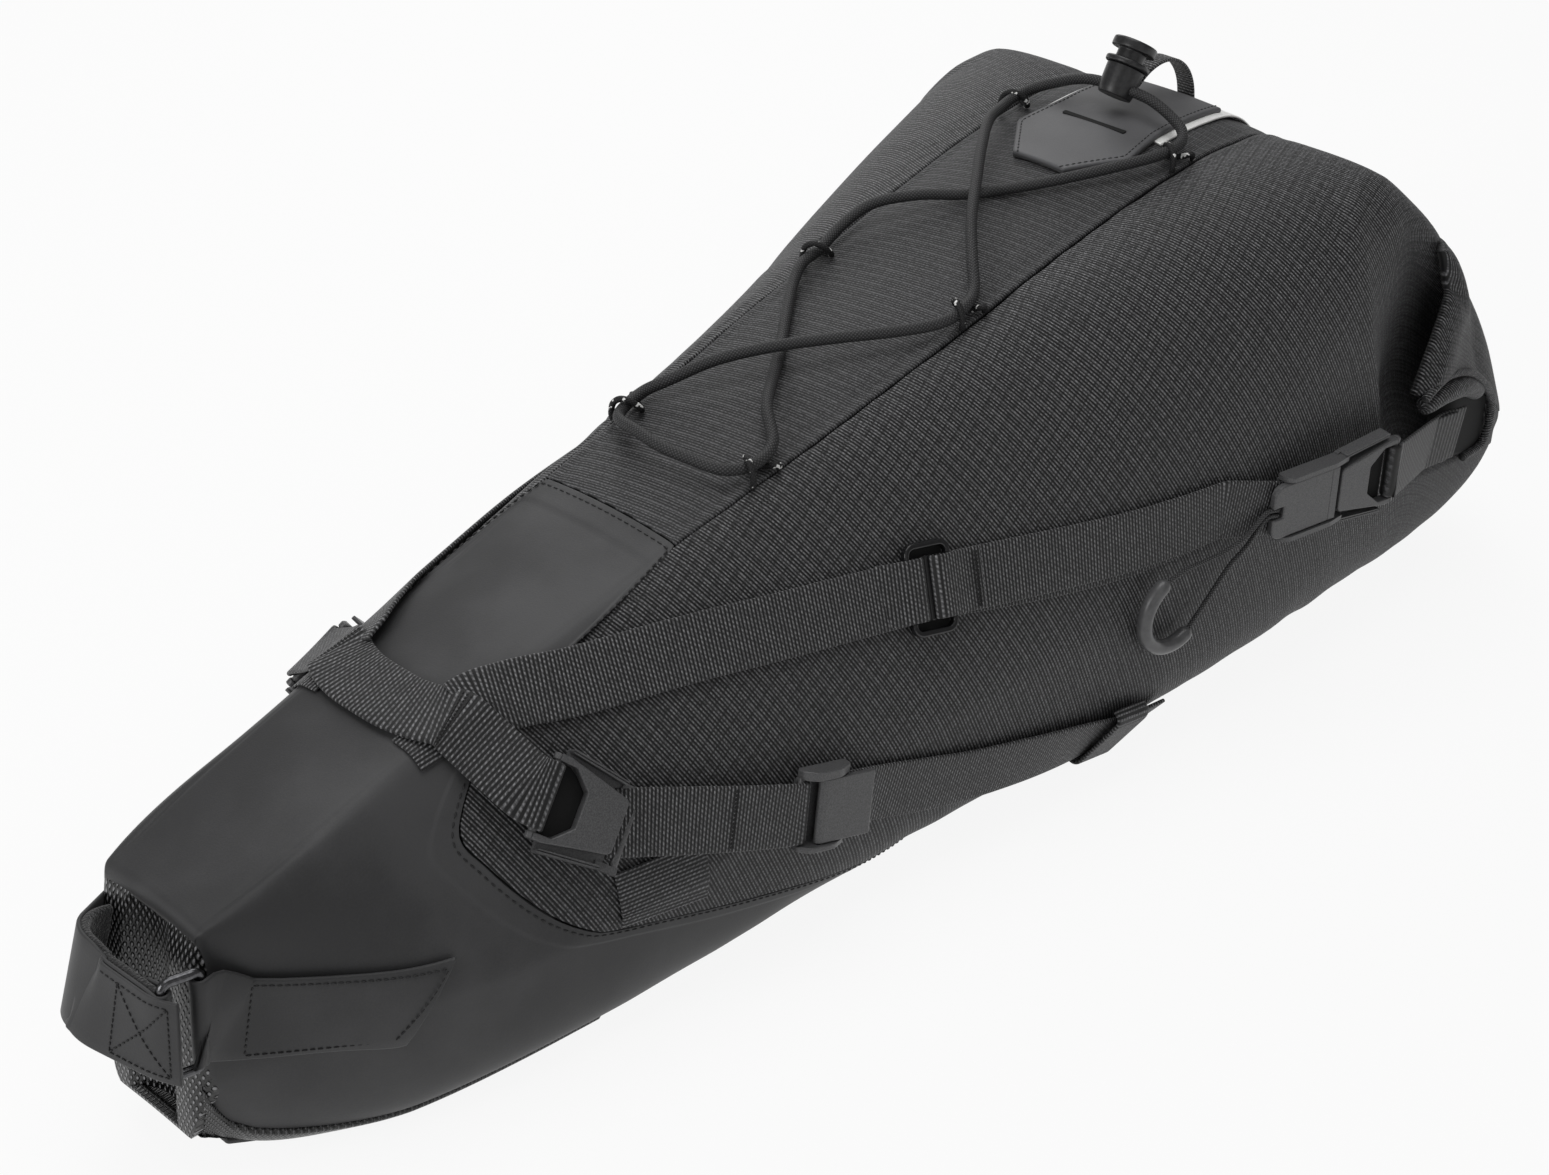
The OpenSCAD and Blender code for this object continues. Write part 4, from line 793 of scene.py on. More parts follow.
# the top, with a fold across it near the tail
u, t = grid(300, HOOD_EDGE[0, 1] + U_GAP, MOUTH_U, np.linspace(-(1 - 2 * T_GAP), 1 - 2 * T_GAP, 73))
half = station(u[:, :1])[..., 1]
from_seam = (1 - np.abs(t)) * half
form = lip(from_seam, 0.8) + 0.25 * near(from_seam, 2.0, 1.2) - 0.3 * near(from_seam, 5, 2.5)
form = form - 0.8 * gate(waves(u * BAG_LEN, t * half, (0.9, 2.7, 3.3)), 0, 0.9)
form = form - 1.2 * near(u, 0.845, 0.012) * gate(np.abs(t), 0.2, 0.9)
dress(panel("top_panel_cloth", u, t, form), top_cloth, "bag", "ripstop_cloth", "top_panel")

# folded corner of the tail: its reach in t, the rear of its opening, and its front edge as
# pairs of t and u
EAR_TOP, EAR_LOW, EAR_REAR = 1.24, 1.865, 0.957
EAR_FRONT = np.array([[1.24, 0.925], [1.40, 0.903], [1.49, 0.886], [1.55, 0.872], [1.585, 0.876],
                      [1.61, 0.881], [1.65, 0.876], [1.72, 0.867], [1.80, 0.857], [1.865, 0.849]])
# hollow in front of it: where it starts (t, u) and how deep it is (t, mm)
HOLLOW_START = np.array([[1.36, 0.830], [1.42, 0.820], [1.50, 0.802], [1.59, 0.798], [1.71, 0.800],
                         [1.86, 0.815], [2.1, 0.83]])
HOLLOW_DEPTH = np.array([[1.37, 0], [1.42, 3.5], [1.50, 7], [1.56, 11], [1.62, 15], [1.72, 17],
                         [1.88, 16], [2.0, 10], [2.14, 0]])


def ear_front(t):
    """Front edge of the folded corner of the tail, as a share of the length."""
    return np.interp(t, *EAR_FRONT.T)


for name, side in SIDES:
    columns = np.linspace(1 + T_GAP, T_FLOOR - T_GAP, 121)
    u, t = grid(330, hood_end(columns) + U_GAP, MOUTH_U, columns)
    x, from_top, from_low = u * BAG_LEN, (t - 1) * T_MM, (T_FLOOR - t) * T_MM
    # rounded edges with a groove beside each seam
    form = lip(from_top, 0.9) + lip(from_low, 1.2)
    form = form - 0.4 * near(from_top, 4, 3) - 0.4 * near(from_low, 4, 3)
    # puckers where the seams gather the cloth
    form = form - 0.4 * near(from_top, 0, 16) * (0.5 + 0.5 * np.sin(x / 3.9 + 2 * np.sin(x / 23)))
    form = form - 0.5 * near(from_low, 0, 14) * (0.5 + 0.5 * np.sin(x / 4.3 + 2 * np.sin(x / 31)))
    # slow hollows, one set long and one set short
    form = form - 1.3 * gate(waves(x + 20 * t, t * 70, (0.4, 1.3, 2.9, 4.4)), 0.0, 0.9)
    form = form - 0.8 * gate(waves(x * 1.9 - 60 * t, t * 110 + 0.4 * x, (1.1, 2.3)), 0.3, 1.0)
    # the cloth turns in towards the folded corner, deepest right in front of it, with a small
    # ridge where the upper part of the hollow starts
    start, depth = np.interp(t, *HOLLOW_START.T), np.interp(t, *HOLLOW_DEPTH.T)
    depth = depth * (1 - gate(u, 0.845, 0.885) * (1 - gate(t, 1.48, 1.58)))
    end = ear_front(t) + 0.004
    into = np.clip((u - start) / (end - start), 0, 1)
    wide = np.clip((u - start + 0.07) / (end - start + 0.07), 0, 1)
    fall = 0.75 * (1 - (1 - into) ** 2) + 0.25 * wide**1.5
    form = form - depth * fall * (1 - gate(u, 0.905, 0.95))
    ridge = gate(t, 1.33, 1.42) * (1 - gate(t, 1.48, 1.65))
    form = form + 1.4 * near(u, start - 0.010, 0.010) * ridge
    dress(panel("side_panel_cloth_" + name, u, t, form, side=side), side_cloth, "bag",
          "ripstop_cloth", "side_panel_" + name)
print("panels made")

# %% [markdown]
# The folded corner of the tail is one more layer of the same cloth. It rises to a crest behind
# its front edge, has two creases across it and a rounded hem along its opening. The opening shows
# the end of a small roll of cloth and, behind it, a dark sheet of painted shade. The mouth is
# rolled up a little over three times round its strip, so its ends show a spiral.

# %% Folded corners, roll and binding
# points (u, t, height in mm) of the hem and of the roll in the opening, and the roll's radius
HEM = [[0.850, 1.868, 5.5], [0.860, 1.845, 5.5], [0.880, 1.806, 5], [0.905, 1.776, 5], [0.93, 1.77, 5],
       [0.952, 1.80, 4.5], [0.957, 1.88, 4], [0.957, 1.98, 3.5], [0.952, 2.08, 2.5], [0.93, 2.12, 1.5]]
ROLLED = [[0.853, 1.895, 3.0], [0.858, 1.888, 3.5], [0.868, 1.872, 4.0], [0.885, 1.845, 4.4],
          [0.905, 1.82, 4.2], [0.93, 1.81, 2]]
ROLLED_R = np.array([[0, 1.0], [0.03, 2.8], [0.1, 3.9], [0.25, 4.5], [0.6, 5.0], [1, 4.6]])
HEM_R = 1.9
# rear limit of the corner's cloth over its opening, and the edges of the nose's tape
CORNER_REAR = np.array([[1.765, 0.983], [1.785, 0.90], [1.81, 0.882], [1.84, 0.868], [1.865, 0.852]])
TAPE_TOP = np.array([[LIP_U, 2.26], [-0.002, 2.36], [0.004, 2.42], [0.015, 2.45], [0.04, 2.465],
                     [0.08, 2.50], [0.2, 2.50]])
TAPE_LOW = np.array([[LIP_U, 2.998], [0.012, 2.998], [0.022, 2.80], [0.034, 2.64], [0.06, 2.60],
                     [0.2, 2.60]])
TAPE_END, NO_EDGE = 0.2, 9.0


def bead(name, points, radius, sides, side):
    """Round bead of the side cloth over points (u, t, height)."""
    u, t, height = np.asarray(points).T
    piece = tube(name, skin(u, t) + height[:, None] * skin_out(u, t), radius, sides, side)
    dress(piece, side_cloth, "bag", "ripstop_cloth")


for name, side in SIDES:
    columns = np.linspace(EAR_TOP, EAR_LOW, 90)
    rear = np.interp(columns, *CORNER_REAR.T)
    u, t = grid(80, ear_front(columns), rear, columns)
    front = ear_front(t)
    inset = np.minimum.reduce([(u - front) * BAG_LEN, (t - EAR_TOP) * T_MM, (EAR_LOW + 0.01 - t) * T_MM,
                               np.where(t > 1.76, (rear - u) * BAG_LEN, NO_EDGE)])
    rise = gate(t, 1.46, 1.60)
    crest = near(u, front + 0.013, 0.012) * rise
    form = 0.4 + 2.4 * rise + lip(np.maximum(inset, 0), 0.8 + 1.8 * rise) + 2.4 * crest * gate(inset, 0, 5)
    fold = 0.915 + 0.09 * (t - 1.6)
    form = form - 1.6 * near(u, fold, 0.012) * rise
    form = form - 1.8 * near(u, 0.884 + 0.25 * (t - 1.61), 0.006) * near(t, 1.61, 0.03)
    form = form + 2.5 * gate(t, 1.68, 1.80) * gate(inset, 0, 5) * (1 - gate(u, 0.92, 0.95))
    dress(panel("tail_ear_cloth_" + name, u, t, form, 2.2, side), side_cloth, "bag", "ripstop_cloth",
          "tail_ear_" + name)
    # the cloth behind the opening
    columns = np.linspace(1.73, 2.12, 30)
    u, t = grid(24, EAR_REAR + 0.03 * np.maximum(columns - 2.05, 0), 0.983, columns)
    inset = np.minimum((u - u[:1]) * BAG_LEN, (2.12 - t) * T_MM)
    form = 2.4 - 1.2 * gate(t, 1.8, 2.0) + lip(inset, 1.4)
    dress(panel("tail_ear_corner_" + name, u, t, form, 2.0, side), side_cloth, "bag", "ripstop_cloth")
    # the hem round the opening, the end of the roll that shows in it and a dark sheet of painted shade
    # behind
    bead("tail_ear_hem_" + name, smooth_path(HEM, 8), HEM_R, 12, side)
    roll = smooth_path(ROLLED, 6)
    fat = np.interp(np.linspace(0, 1, len(roll)), *ROLLED_R.T)
    bead("tail_ear_roll_" + name, roll, fat, 20, side)
    u, t = np.meshgrid(np.linspace(0.872, 0.962, 24), np.linspace(1.79, 2.10, 24), indexing="ij")
    dress(panel("tail_ear_inside_" + name, u, t, 0.9 + 0 * u, 0.8, side), painted_shade_finish, "bag",
          "ripstop_cloth")
    # the binding tape along the lower edge of the nose and across its front
    u = np.linspace(LIP_U, TAPE_END, 110)[:, None]
    top, low = np.interp(u, *TAPE_TOP.T), np.interp(u, *TAPE_LOW.T)
    t = top + (low - top) * np.linspace(0, 1, 41)[None, :]
    u = u + 0 * t
    inset = np.minimum.reduce([(t - top) * T_MM, np.where(low > 2.99, NO_EDGE, (low - t) * T_MM),
                               (u - LIP_U) * BAG_LEN, (TAPE_END - u) * BAG_LEN])
    form = 1.3 * (1 - gate(t, 2.45, 2.7)) + lip(inset, 1.3) - tucked(u, t)
    tape = panel("edge_binding_tape_" + name, u, t, form, 1.5, side)
    dress(tape, binding_mesh, "bag", "webbing", "edge_binding")

ROLL_X, ROLL_Z, ROLL_R, ROLL_HALF = 642.0, 50.0, 18.0, 108.0
ROLL_PITCH, ROLL_TURNS, ROLL_CLOTH = 4.2, 3.2, 1.8
turn = np.linspace(0, ROLL_TURNS * 2 * math.pi, 260)
y = np.linspace(ROLL_HALF, -ROLL_HALF, 121)
sag = 0.6 * np.sin(y / 21.0) + 0.4 * np.sin(y / 9.0 + 1)
radius = ROLL_R - ROLL_PITCH * turn[None, :] / (2 * math.pi) - 0.5 + 0.25 * sag[:, None]
angle = 2.3 - turn[None, :] + 0 * radius
y = y[:, None] + 0 * radius
outer, inner = (np.stack([ROLL_X + r * np.cos(angle), y, ROLL_Z + r * np.sin(angle)], -1)[::-1]
                for r in (radius, radius - ROLL_CLOTH))
uv = np.stack([y, turn[None, :] * 12 + 0 * radius], -1)
dress(sheet_piece("tail_roll_cloth", outer, inner, uv), side_cloth, "bag", "ripstop_cloth", "tail_roll")

# the lining lies inside the panels, deeper where they turn in before the tail's corners
u, t = np.linspace(0.02, 0.984, 80)[:, None], np.linspace(-2.999, 2.999, 150)[None, :]
depth = 3.6 + tucked(u, t) + 24 * near(u, 0.86, 0.10) * near(np.abs(t), 1.74, 0.42)
lining = skin(u, t, -depth)[:, ::-1]
dress(carried("inner_lining_cloth", lining, u[:, 0] * BAG_LEN, np.arange(151) * 3.0), inner_cloth, "bag",
      "coated_cloth")
print("folds, roll, binding and lining made")

# %% [markdown]
# ## The nose
# The nose frame leans with the rake of the nose, so that its z axis is parallel to the seat
# post. The pad is foam under spacer mesh, with a shallow channel pressed in by the post. It
# fills the mouth of the hood, so its outline is the hood's own rim, eased into a rounded oblong.

# %% Nose pad
def leaning(angle, at):
    """Frame at a point whose z axis leans back from upright by an angle."""
    m = np.eye(4)
    m[:3, 0] = [math.cos(angle), 0, -math.sin(angle)]
    m[:3, 2] = [math.sin(angle), 0, math.cos(angle)]
    m[:3, 3] = at
    return m


nose = leaning(math.atan(NOSE_RAKE / RAKE_Z), [0, 0, RAKE_Z])
POST_X, POST_R = -15.5, 15.8
PAD_HALF = np.array([24.5, 39.0])
PAD_MIDDLE, PAD_FRONT, PAD_BACK = -43.0, -6.0, 12.0
# radius of the pad's edge, distance from its rim to its middle, and half the width of the
# channel's arc as a share of the post's radius
PAD_R, PAD_INSET, ARC_SHARE = 9.0, 26.0, 0.82

around = np.linspace(-2.999, 2.999, 161)[:-1]
low = gate(np.abs(around), 2.25, 2.45)
rim = skin(0.004 - 0.01 * low, around, -2.3 - 2.5 * low)
mouth = (rim - nose[:3, 3]) @ nose[:3, 1:3] - [0, PAD_MIDDLE]
reach = np.max(np.abs(mouth / PAD_HALF) ** 6, axis=1) ** (1 / 6)
outline = mouth / reach[:, None]
# three rings for the side of the pad, then rings that shrink to its middle
size = np.concatenate([np.ones(3), np.sin(np.linspace(math.pi / 2, 0.02, 46))])
yz = size[:, None, None] * (outline + (mouth - outline) * size[:, None, None] ** 3)
inset = (1 - size[:, None]) * PAD_INSET + 0 * yz[..., 0]
rounding = 1 - np.sqrt(1 - (1 - np.minimum(inset / PAD_R, 1)) ** 2.5)
depth = PAD_FRONT - 0.6 + (PAD_R - (PAD_R - 0.4) * low) * rounding
channel = POST_X + 0.1 + np.sqrt(np.maximum(POST_R**2 - yz[..., 0] ** 2, 0))
x = np.where((np.abs(yz[..., 0]) < POST_R) & (inset > 1), np.maximum(depth, channel), depth)
x[0], x[1], x[2] = PAD_BACK, 8.0, 4.5
points = place(nose, np.stack([x, yz[..., 0], PAD_MIDDLE + yz[..., 1]], -1))[:, ::-1]
rows, cols = points.shape[:2]
ci, cj = grid_faces(rows, cols, True)
faces = ci * cols + cj % cols
# flat width of the mesh: the arc of the channel, then straight on to the side
beside = np.abs(yz[..., 0])
bent = POST_R * np.arcsin(np.clip(beside / POST_R, 0, ARC_SHARE))
across = np.sign(yz[..., 0]) * (bent + np.maximum(beside - ARC_SHARE * POST_R, 0))
flat = np.stack([across, yz[..., 1]], -1)[:, ::-1].reshape(-1, 2)[faces].reshape(-1, 2) * MM
ends = np.arange(cols)
pad = add_piece("seatpost_pad_mesh", points.reshape(-1, 3),
                faces.tolist() + [ends[::-1].tolist(), (ends + (rows - 1) * cols).tolist()],
                np.concatenate([flat, np.zeros((2 * cols, 2))]))
dress(pad, pad_mesh, "bag", "mesh_pad", "seatpost_pad")
print("pad made")

# %% [markdown]
# ## Straps
# A strap is a list of runs. A run is a line of points with the side that faces away from the
# bag at each of them: over the cloth, through a buckle's own frame, or round a bar. The patches
# beside the ring are straps too; they taper, and their rear end is cut slantwise.

# %% Strap tools
WEB_W, WEB_T, WEB_LIFT = 24.4, 1.6, 0.7
EYE_R, BAR_Z = 1.8, 4.7
# distance between the points of a strap
STEP = 0.6
# the seat-post strap's loop: its height in the nose frame, its tilt, where across the nose the
# tilt starts and is whole, and how far back the tilted part sits
LOOP_Z, LOOP_TILT, TILT_FROM, TILT_TO, LOOP_BACK = -21.0, math.radians(15.0), -15.0, 1.0, 2.3


def skin_run(route, lift):
    """Points over the cloth along a route of (u, t), with their outward normals."""
    r = smooth_path(route, 6)
    n = skin_out(r[:, 0], r[:, 1])
    return skin(r[:, 0], r[:, 1]) + lift * n, n


def flat_run(m, ends, z):
    """Straight run on a fitting, from x to x at a height."""
    points = np.array([[x, 0, z] for x in ends], float)
    return place(m, points), np.broadcast_to(m[:3, 2], (len(ends), 3))


def eye_run(m, x, z, start, end):
    """Arc round a bar that lies across a fitting, angles in degrees from the x axis."""
    a = np.radians(np.linspace(start, end, 12))
    d = np.column_stack([np.cos(a), 0 * a, np.sin(a)])
    return place(m, [x, 0, z] + EYE_R * d), d @ m[:3, :3].T, "held"


def bent_run(m, points, axis):
    """Run on a fitting that bends in the plane of its z axis and its x (axis 0) or y (axis 1)."""
    way = unit(np.gradient(points, axis=0))
    at, up = np.zeros((2, len(points), 3))
    at[:, [axis, 2]] = points
    up[:, [axis, 2]] = np.column_stack([-way[:, 1], way[:, 0]])
    return place(m, at), up @ m[:3, :3].T


def plan_run(points, normals):
    """Run of the seat-post strap in the plan of the nose, from the post's axis. In front of the
    post and on the rider's right the loop tilts, its front higher than its rear, as a slack
    strap does; at its ring it hangs straight."""
    p, n = np.asarray(points, float), np.asarray(normals, float)
    share = gate(p[:, 1], TILT_FROM, TILT_TO)
    a = LOOP_TILT * share
    flat = np.column_stack([p[:, 0] * np.cos(a) + LOOP_BACK * share + POST_X, p[:, 1],
                            LOOP_Z - p[:, 0] * np.sin(a)])
    up = np.column_stack([n[:, 0] * np.cos(a), n[:, 1], -n[:, 0] * np.sin(a)])
    return place(nose, flat), up @ nose[:3, :3].T


def plan_arc(centre, r, start, end, n=14):
    """Arc in the plan of the nose with its radial directions, angles in degrees."""
    a = np.radians(np.linspace(start, end, n))
    d = np.column_stack([np.cos(a), np.sin(a)])
    return (*plan_run(np.asarray(centre) + r * d, d), "held")


def backwards(run):
    """The same run from its other end."""
    return (run[0][::-1], run[1][::-1], *run[2:])


def mirrored(run):
    """The same run on the rider's right, from its other end."""
    return (run[0][::-1] * [1, -1, 1], run[1][::-1] * [1, -1, 1], *run[2:])


def strap_path(runs, relax=40):
    """Joined runs as even points and normals. Held runs keep their shape; all the others relax
    towards the mean of their neighbours, because webbing takes no sharp bend."""
    path = np.concatenate([np.column_stack([*run[:2], np.full(len(run[0]), float(len(run) > 2))])
                           for run in runs])
    moved = np.linalg.norm(np.diff(path[:, :3], axis=0), axis=1) > 0.05
    path = even(path[np.concatenate([[True], moved])], STEP)
    free = 0.5 * (1 - path[1:-1, 6:])
    for _ in range(relax):
        path[1:-1, :6] += free * ((path[:-2, :6] + path[2:, :6]) / 2 - path[1:-1, :6])
    return path[:, :3], unit(path[:, 3:6])


def strap(name, runs, width=WEB_W, thick=WEB_T, side=1, relax=40, slant=0):
    """Webbing along joined runs."""
    path, normals = strap_path(runs, relax=relax)
    if np.ndim(width):
        width = np.interp(np.linspace(0, 1, len(path)), np.linspace(0, 1, len(width)), width)
    return ribbon(name, path, normals, width, thick, side, slant)


def on_band(band, s, v, lift):
    """Points of a strap with their normals: s along it, v across it, lift above its underside.
    Past its end the strap is taken to run straight on."""
    path, normals = band
    along = lengths(path)

    def read(values, at):
        return np.column_stack([np.interp(at, along, column) for column in values.T])

    up = unit(read(normals, s))
    across = unit(np.cross(up, read(path, s + STEP) - read(path, s - STEP)))
    past = np.maximum(s - along[-1], 0)[:, None] * unit(path[-1] - path[-3])
    return read(path, s) + past + v[:, None] * across + np.reshape(lift, (-1, 1)) * up, up


def rows_on(band, corners, lift, crown=0.0):
    """Straight rows of stitches, each between two corners (s, v) of a strap. A crown bends them
    down with the edges of a patch, as in ribbon()."""
    runs, w = [], np.linspace(0, 1, 24)
    for (s0, v0), (s1, v1) in corners:
        s, v = s0 + (s1 - s0) * w, v0 + (v1 - v0) * w
        late = end_share(s, lengths(band[0])[-1], PATCH_SLANT)
        runs.append(on_band(band, s, v, lift - crown * late * v**2))
    return runs


# frames of the fittings: u, t, the way of the strap as a step in u and t, and the height
rail_m = skin_frame(0.180, 1.44, 0.0106, 0.10, 2.8)
cam_m = skin_frame(0.331, 1.985, 0.03, 0.05, 2.8)
slider_m = skin_frame(0.444, 1.612, 0.02, 0.035, 0.0)
keeper_m = skin_frame(0.578, 2.408, 0.02, 0.028, 0.0)
grip_m = skin_frame(0.609, 2.015, 0.02, 0.0, 5.1)
# the tail buckle hangs free of the cloth, between its webbing bar and its lever's front end
BAR_UT, BAR_UP, FRONT_UT, FRONT_UP = (0.787, 1.935), 18.2, (0.687, 1.912), 7.0
out_at_bar = skin_out(*BAR_UT)
bar_at = skin(*BAR_UT) + out_at_bar * BAR_UP
front_at = skin(*FRONT_UT) + skin_out(*FRONT_UT) * FRONT_UP
axis = unit(front_at - bar_at)
lift_way = unit(out_at_bar - (out_at_bar @ axis) * axis)
tail_m = np.eye(4)
tail_m[:3] = np.column_stack([axis, np.cross(lift_way, axis), lift_way, bar_at - BAR_Z * lift_way])
print("tail buckle: bar at", bar_at.round(1))

# %% Straps
RAIL_ROUTE = [[0.1467, 0], [0.1475, 0.4], [0.1525, 0.8], [0.159, 1.02], [0.163, 1.12]]
SIDE_ROUTE = [[0.201, 1.09], [0.225, 1.16], [0.263, 1.25], [0.336, 1.42], [0.412, 1.56],
              [0.492, 1.69], [0.561, 1.78], [0.61, 1.825], [0.655, 1.855]]
CAM_ROUTE = [[0.378, 2.085], [0.41, 2.16], [0.45, 2.24], [0.50, 2.31], [0.545, 2.365], [0.58, 2.41],
             [0.618, 2.435]]
TAB_ROUTE = [[0.872, 1.985], [0.89, 1.98], [0.905, 1.975]]
FOLD_ROUTE = [[0.858, 1.99], [0.872, 1.985], [0.89, 1.98]]
ANCHOR_ROUTE = [[0.232, 1.88], [0.230, 1.97], [0.228, 2.055]]
PATCH_ROUTE = [[0.006, 1.92], [0.03, 1.94], [0.06, 1.965], [0.092, 1.985], [0.108, 1.990]]
PATCH_SLANT, PATCH_W = 21.0, (34.0, 34.0, 32.0, 30.5, 29.0, 28.0)

# the side strap starts under the rail strap
route = smooth_path([[0.166, 1.01], [0.177, 1.025], [0.188, 1.055]] + SIDE_ROUTE, 6)
route = even(np.column_stack([route * [BAG_LEN, T_MM], 0 * route[:, 0]]), 1.0)
route = route[:, :2] / [BAG_LEN, T_MM]
lift = np.interp(route[:, 0], [0.180, 0.215], [-1.1, 0.7])
n = skin_out(route[:, 0], route[:, 1])
over_side = (skin(route[:, 0], route[:, 1]) + lift[:, None] * n, n)
later = route[route[:, 0] > 0.455]
n = skin_out(later[:, 0], later[:, 1])
sideways = np.cross(n, unit(np.gradient(skin(later[:, 0], later[:, 1]), axis=0)))
bow = np.sin(np.linspace(0, math.pi, len(later)))[:, None]
under_layer = (skin(later[:, 0], later[:, 1]) - 0.6 * n - (0.7 + 2.2 * bow) * sideways, n)
down_left = [skin_run(RAIL_ROUTE, 1.3), flat_run(rail_m, (-7, -3), 5.7),
             eye_run(rail_m, 0, BAR_Z, 115, -100)]
over_top = [mirrored(run) for run in down_left[::-1]] + down_left
dress(strap("rail_strap_webbing", over_top), rail_webbing, "bag", "webbing", "rail_strap")
ends = np.stack([place(cam_m, [-11.5, 0, 3.3]), place(rail_m, [26.0, 0, 1.2])])
w = np.linspace(0, 1, 30)[:, None]
up = unit(cam_m[:3, 2] * (1 - w) + rail_m[:3, 2] * w)
link_run = (ends[0] * (1 - w) + ends[1] * w + 1.6 * np.sin(math.pi * w) * up, up)
tabs = [skin_run([[0.1385, 0.72], [0.1385, 0.9], [0.1395, 1.1]], 0.3)]
for name, side in SIDES:
    dress(strap("hood_tab_" + name, tabs, 12.5, 0.7, side), strap_webbing, "bag", "webbing", "hood_tabs")
    dress(strap("side_strap_webbing_" + name, [over_side, flat_run(tail_m, (61.2, 43.2), 1.3)], side=side,
                relax=4), strap_webbing, "bag", "webbing", "side_strap_" + name)
    # the strap's second layer, from the slider to the buckle, a little out of line
    dress(strap("side_strap_under_" + name, [under_layer], 24.0, 1.2, side), strap_webbing, "bag", "webbing")
    dress(strap("cam_link_webbing_" + name, [backwards(eye_run(cam_m, -7.5, 1.5, 110, -110)), link_run],
                side=side), strap_webbing, "bag", "webbing", "cam_link_" + name)
    dress(strap("link_anchor_webbing_" + name, [skin_run(ANCHOR_ROUTE, 0.8)], 38, 1.0, side, relax=4),
          strap_webbing, "bag", "webbing", "link_anchor_" + name)
    dress(strap("cam_strap_webbing_" + name, [flat_run(cam_m, (1, 12.2), 1.3), skin_run(CAM_ROUTE, 1.5)],
                side=side), strap_webbing, "bag", "webbing", "cam_strap_" + name)
    # the tab goes round the hook's bar, and a second layer of it lies on the first
    tab_runs = [backwards(skin_run(TAB_ROUTE, 4.3)), eye_run(tail_m, 0, BAR_Z, 125, -100)]
    dress(strap("tail_tab_webbing_" + name, tab_runs, side=side), tab_webbing, "bag", "webbing",
          "tail_tab_" + name)
    dress(strap("tail_tab_fold_" + name, [backwards(skin_run(FOLD_ROUTE, 6.2))], 23.6, 1.4, side),
          tab_webbing, "bag", "webbing")
    # the keeper goes up one side of the strap, over it and down the other
    yz = filleted([[-15.4, 0.3, 0], [-15.0, 4.9, 2.2], [15.0, 4.9, 2.2], [15.4, 0.3, 0]])
    over = bent_run(keeper_m, yz, 1)
    dress(strap("keeper_webbing_" + name, [over], 22, WEB_T, side, relax=6), strap_webbing, "bag",
          "webbing", "keeper_" + name)
print("webbing sewn")

# %% [markdown]
# ## The seat-post strap and its ring
# The outer layer comes from the rider's right round the post's front, turns round the ring's
# front bar on the left and folds back. Its pile lies inside, and its cut end lies on the outside,
# sewn with a cross. The ring's rear bar is held by the patch that is sewn on the nose.

# %% Seat-post strap
GRIP_LOW, GRIP_W = -38.0, 34.0
RING_FRONT, RING_REAR = np.array([-7.5, -33.0]), np.array([6.0, -34.6])
WIRE_R, WIRE_BEND, WIRE_OUT = 1.75, 2.6, 2.3
# degrees that the strap goes on past the post's front, on the right and on the left
WRAP, LEFT_WRAP = 57.0, 18.0
PILE_IN, STRAP_T = 2.9, 1.6
r0 = POST_R + 1.9
on_left = r0 * np.array([-math.cos(math.radians(LEFT_WRAP)), -math.sin(math.radians(LEFT_WRAP))])
at_ring = np.array([-9.4, -30.0])
out = np.array([-0.957, -0.289])
right_end = np.array([17.6, 32.1])
right_way = unit(np.array([-17.3, 27.2]))
outer_runs = [plan_run([[-7.0, -24.5], [-5.4, -30]], [-out, -out]),
              plan_arc(RING_FRONT, EYE_R, 0, -180),
              plan_run([at_ring, on_left], [out, out]),
              plan_arc([0, 0], r0, 180 + LEFT_WRAP, 180 - WRAP, 30),
              plan_run([right_end - [4, 2.5], right_end], [right_way, right_way])]
dress(strap("grip_strap_cloth", outer_runs, GRIP_W, STRAP_T), hood_cloth_finish, "bag", "coated_cloth",
      "grip_strap")
lining_runs = [plan_run([at_ring - PILE_IN * out, on_left - PILE_IN * out], [out, out]),
               plan_arc([0, 0], r0 - PILE_IN, 180 + LEFT_WRAP, 180 - WRAP - 38, 40)]
dress(strap("grip_lining_pile", lining_runs, GRIP_W, 3.4), pile, "bag", "pile_tape", "grip_lining")

# the cut end of its outer layer lies over the ring
end_points = [on_left + [-0.4, 3.0], on_left + 1.5 * out, at_ring + WIRE_R * out, [-9.6, -35.0],
              [-6.4, -41.0]]
end_runs = [plan_run(end_points, [[-1, -0.1], out, out, [-0.94, -0.34], [-0.85, -0.5]])]
end_band = strap_path(end_runs)
dress(strap("grip_strap_end", end_runs, GRIP_W - 0.4, 1.5), hood_cloth_finish, "bag", "coated_cloth")
# the ring is a rectangle of wire, its corners rounded, with one long bar before the other
xz = filleted([[RING_FRONT[0], -WIRE_OUT, WIRE_BEND], [RING_FRONT[0], GRIP_W + WIRE_OUT, WIRE_BEND],
               [RING_REAR[0], GRIP_W + WIRE_OUT, WIRE_BEND], [RING_REAR[0], -WIRE_OUT, WIRE_BEND]], 7)
loop = np.column_stack([xz[:, 0], np.repeat([RING_FRONT[1], RING_REAR[1]], 14), xz[:, 1]])
loop = even(np.concatenate([loop, loop[:1]]), 1.0) + [POST_X, 0, GRIP_LOW]
dress(tube("strap_ring_wire", place(nose, loop), WIRE_R, 16), ring_nickel, "bag", "ring_steel",
      "strap_ring")

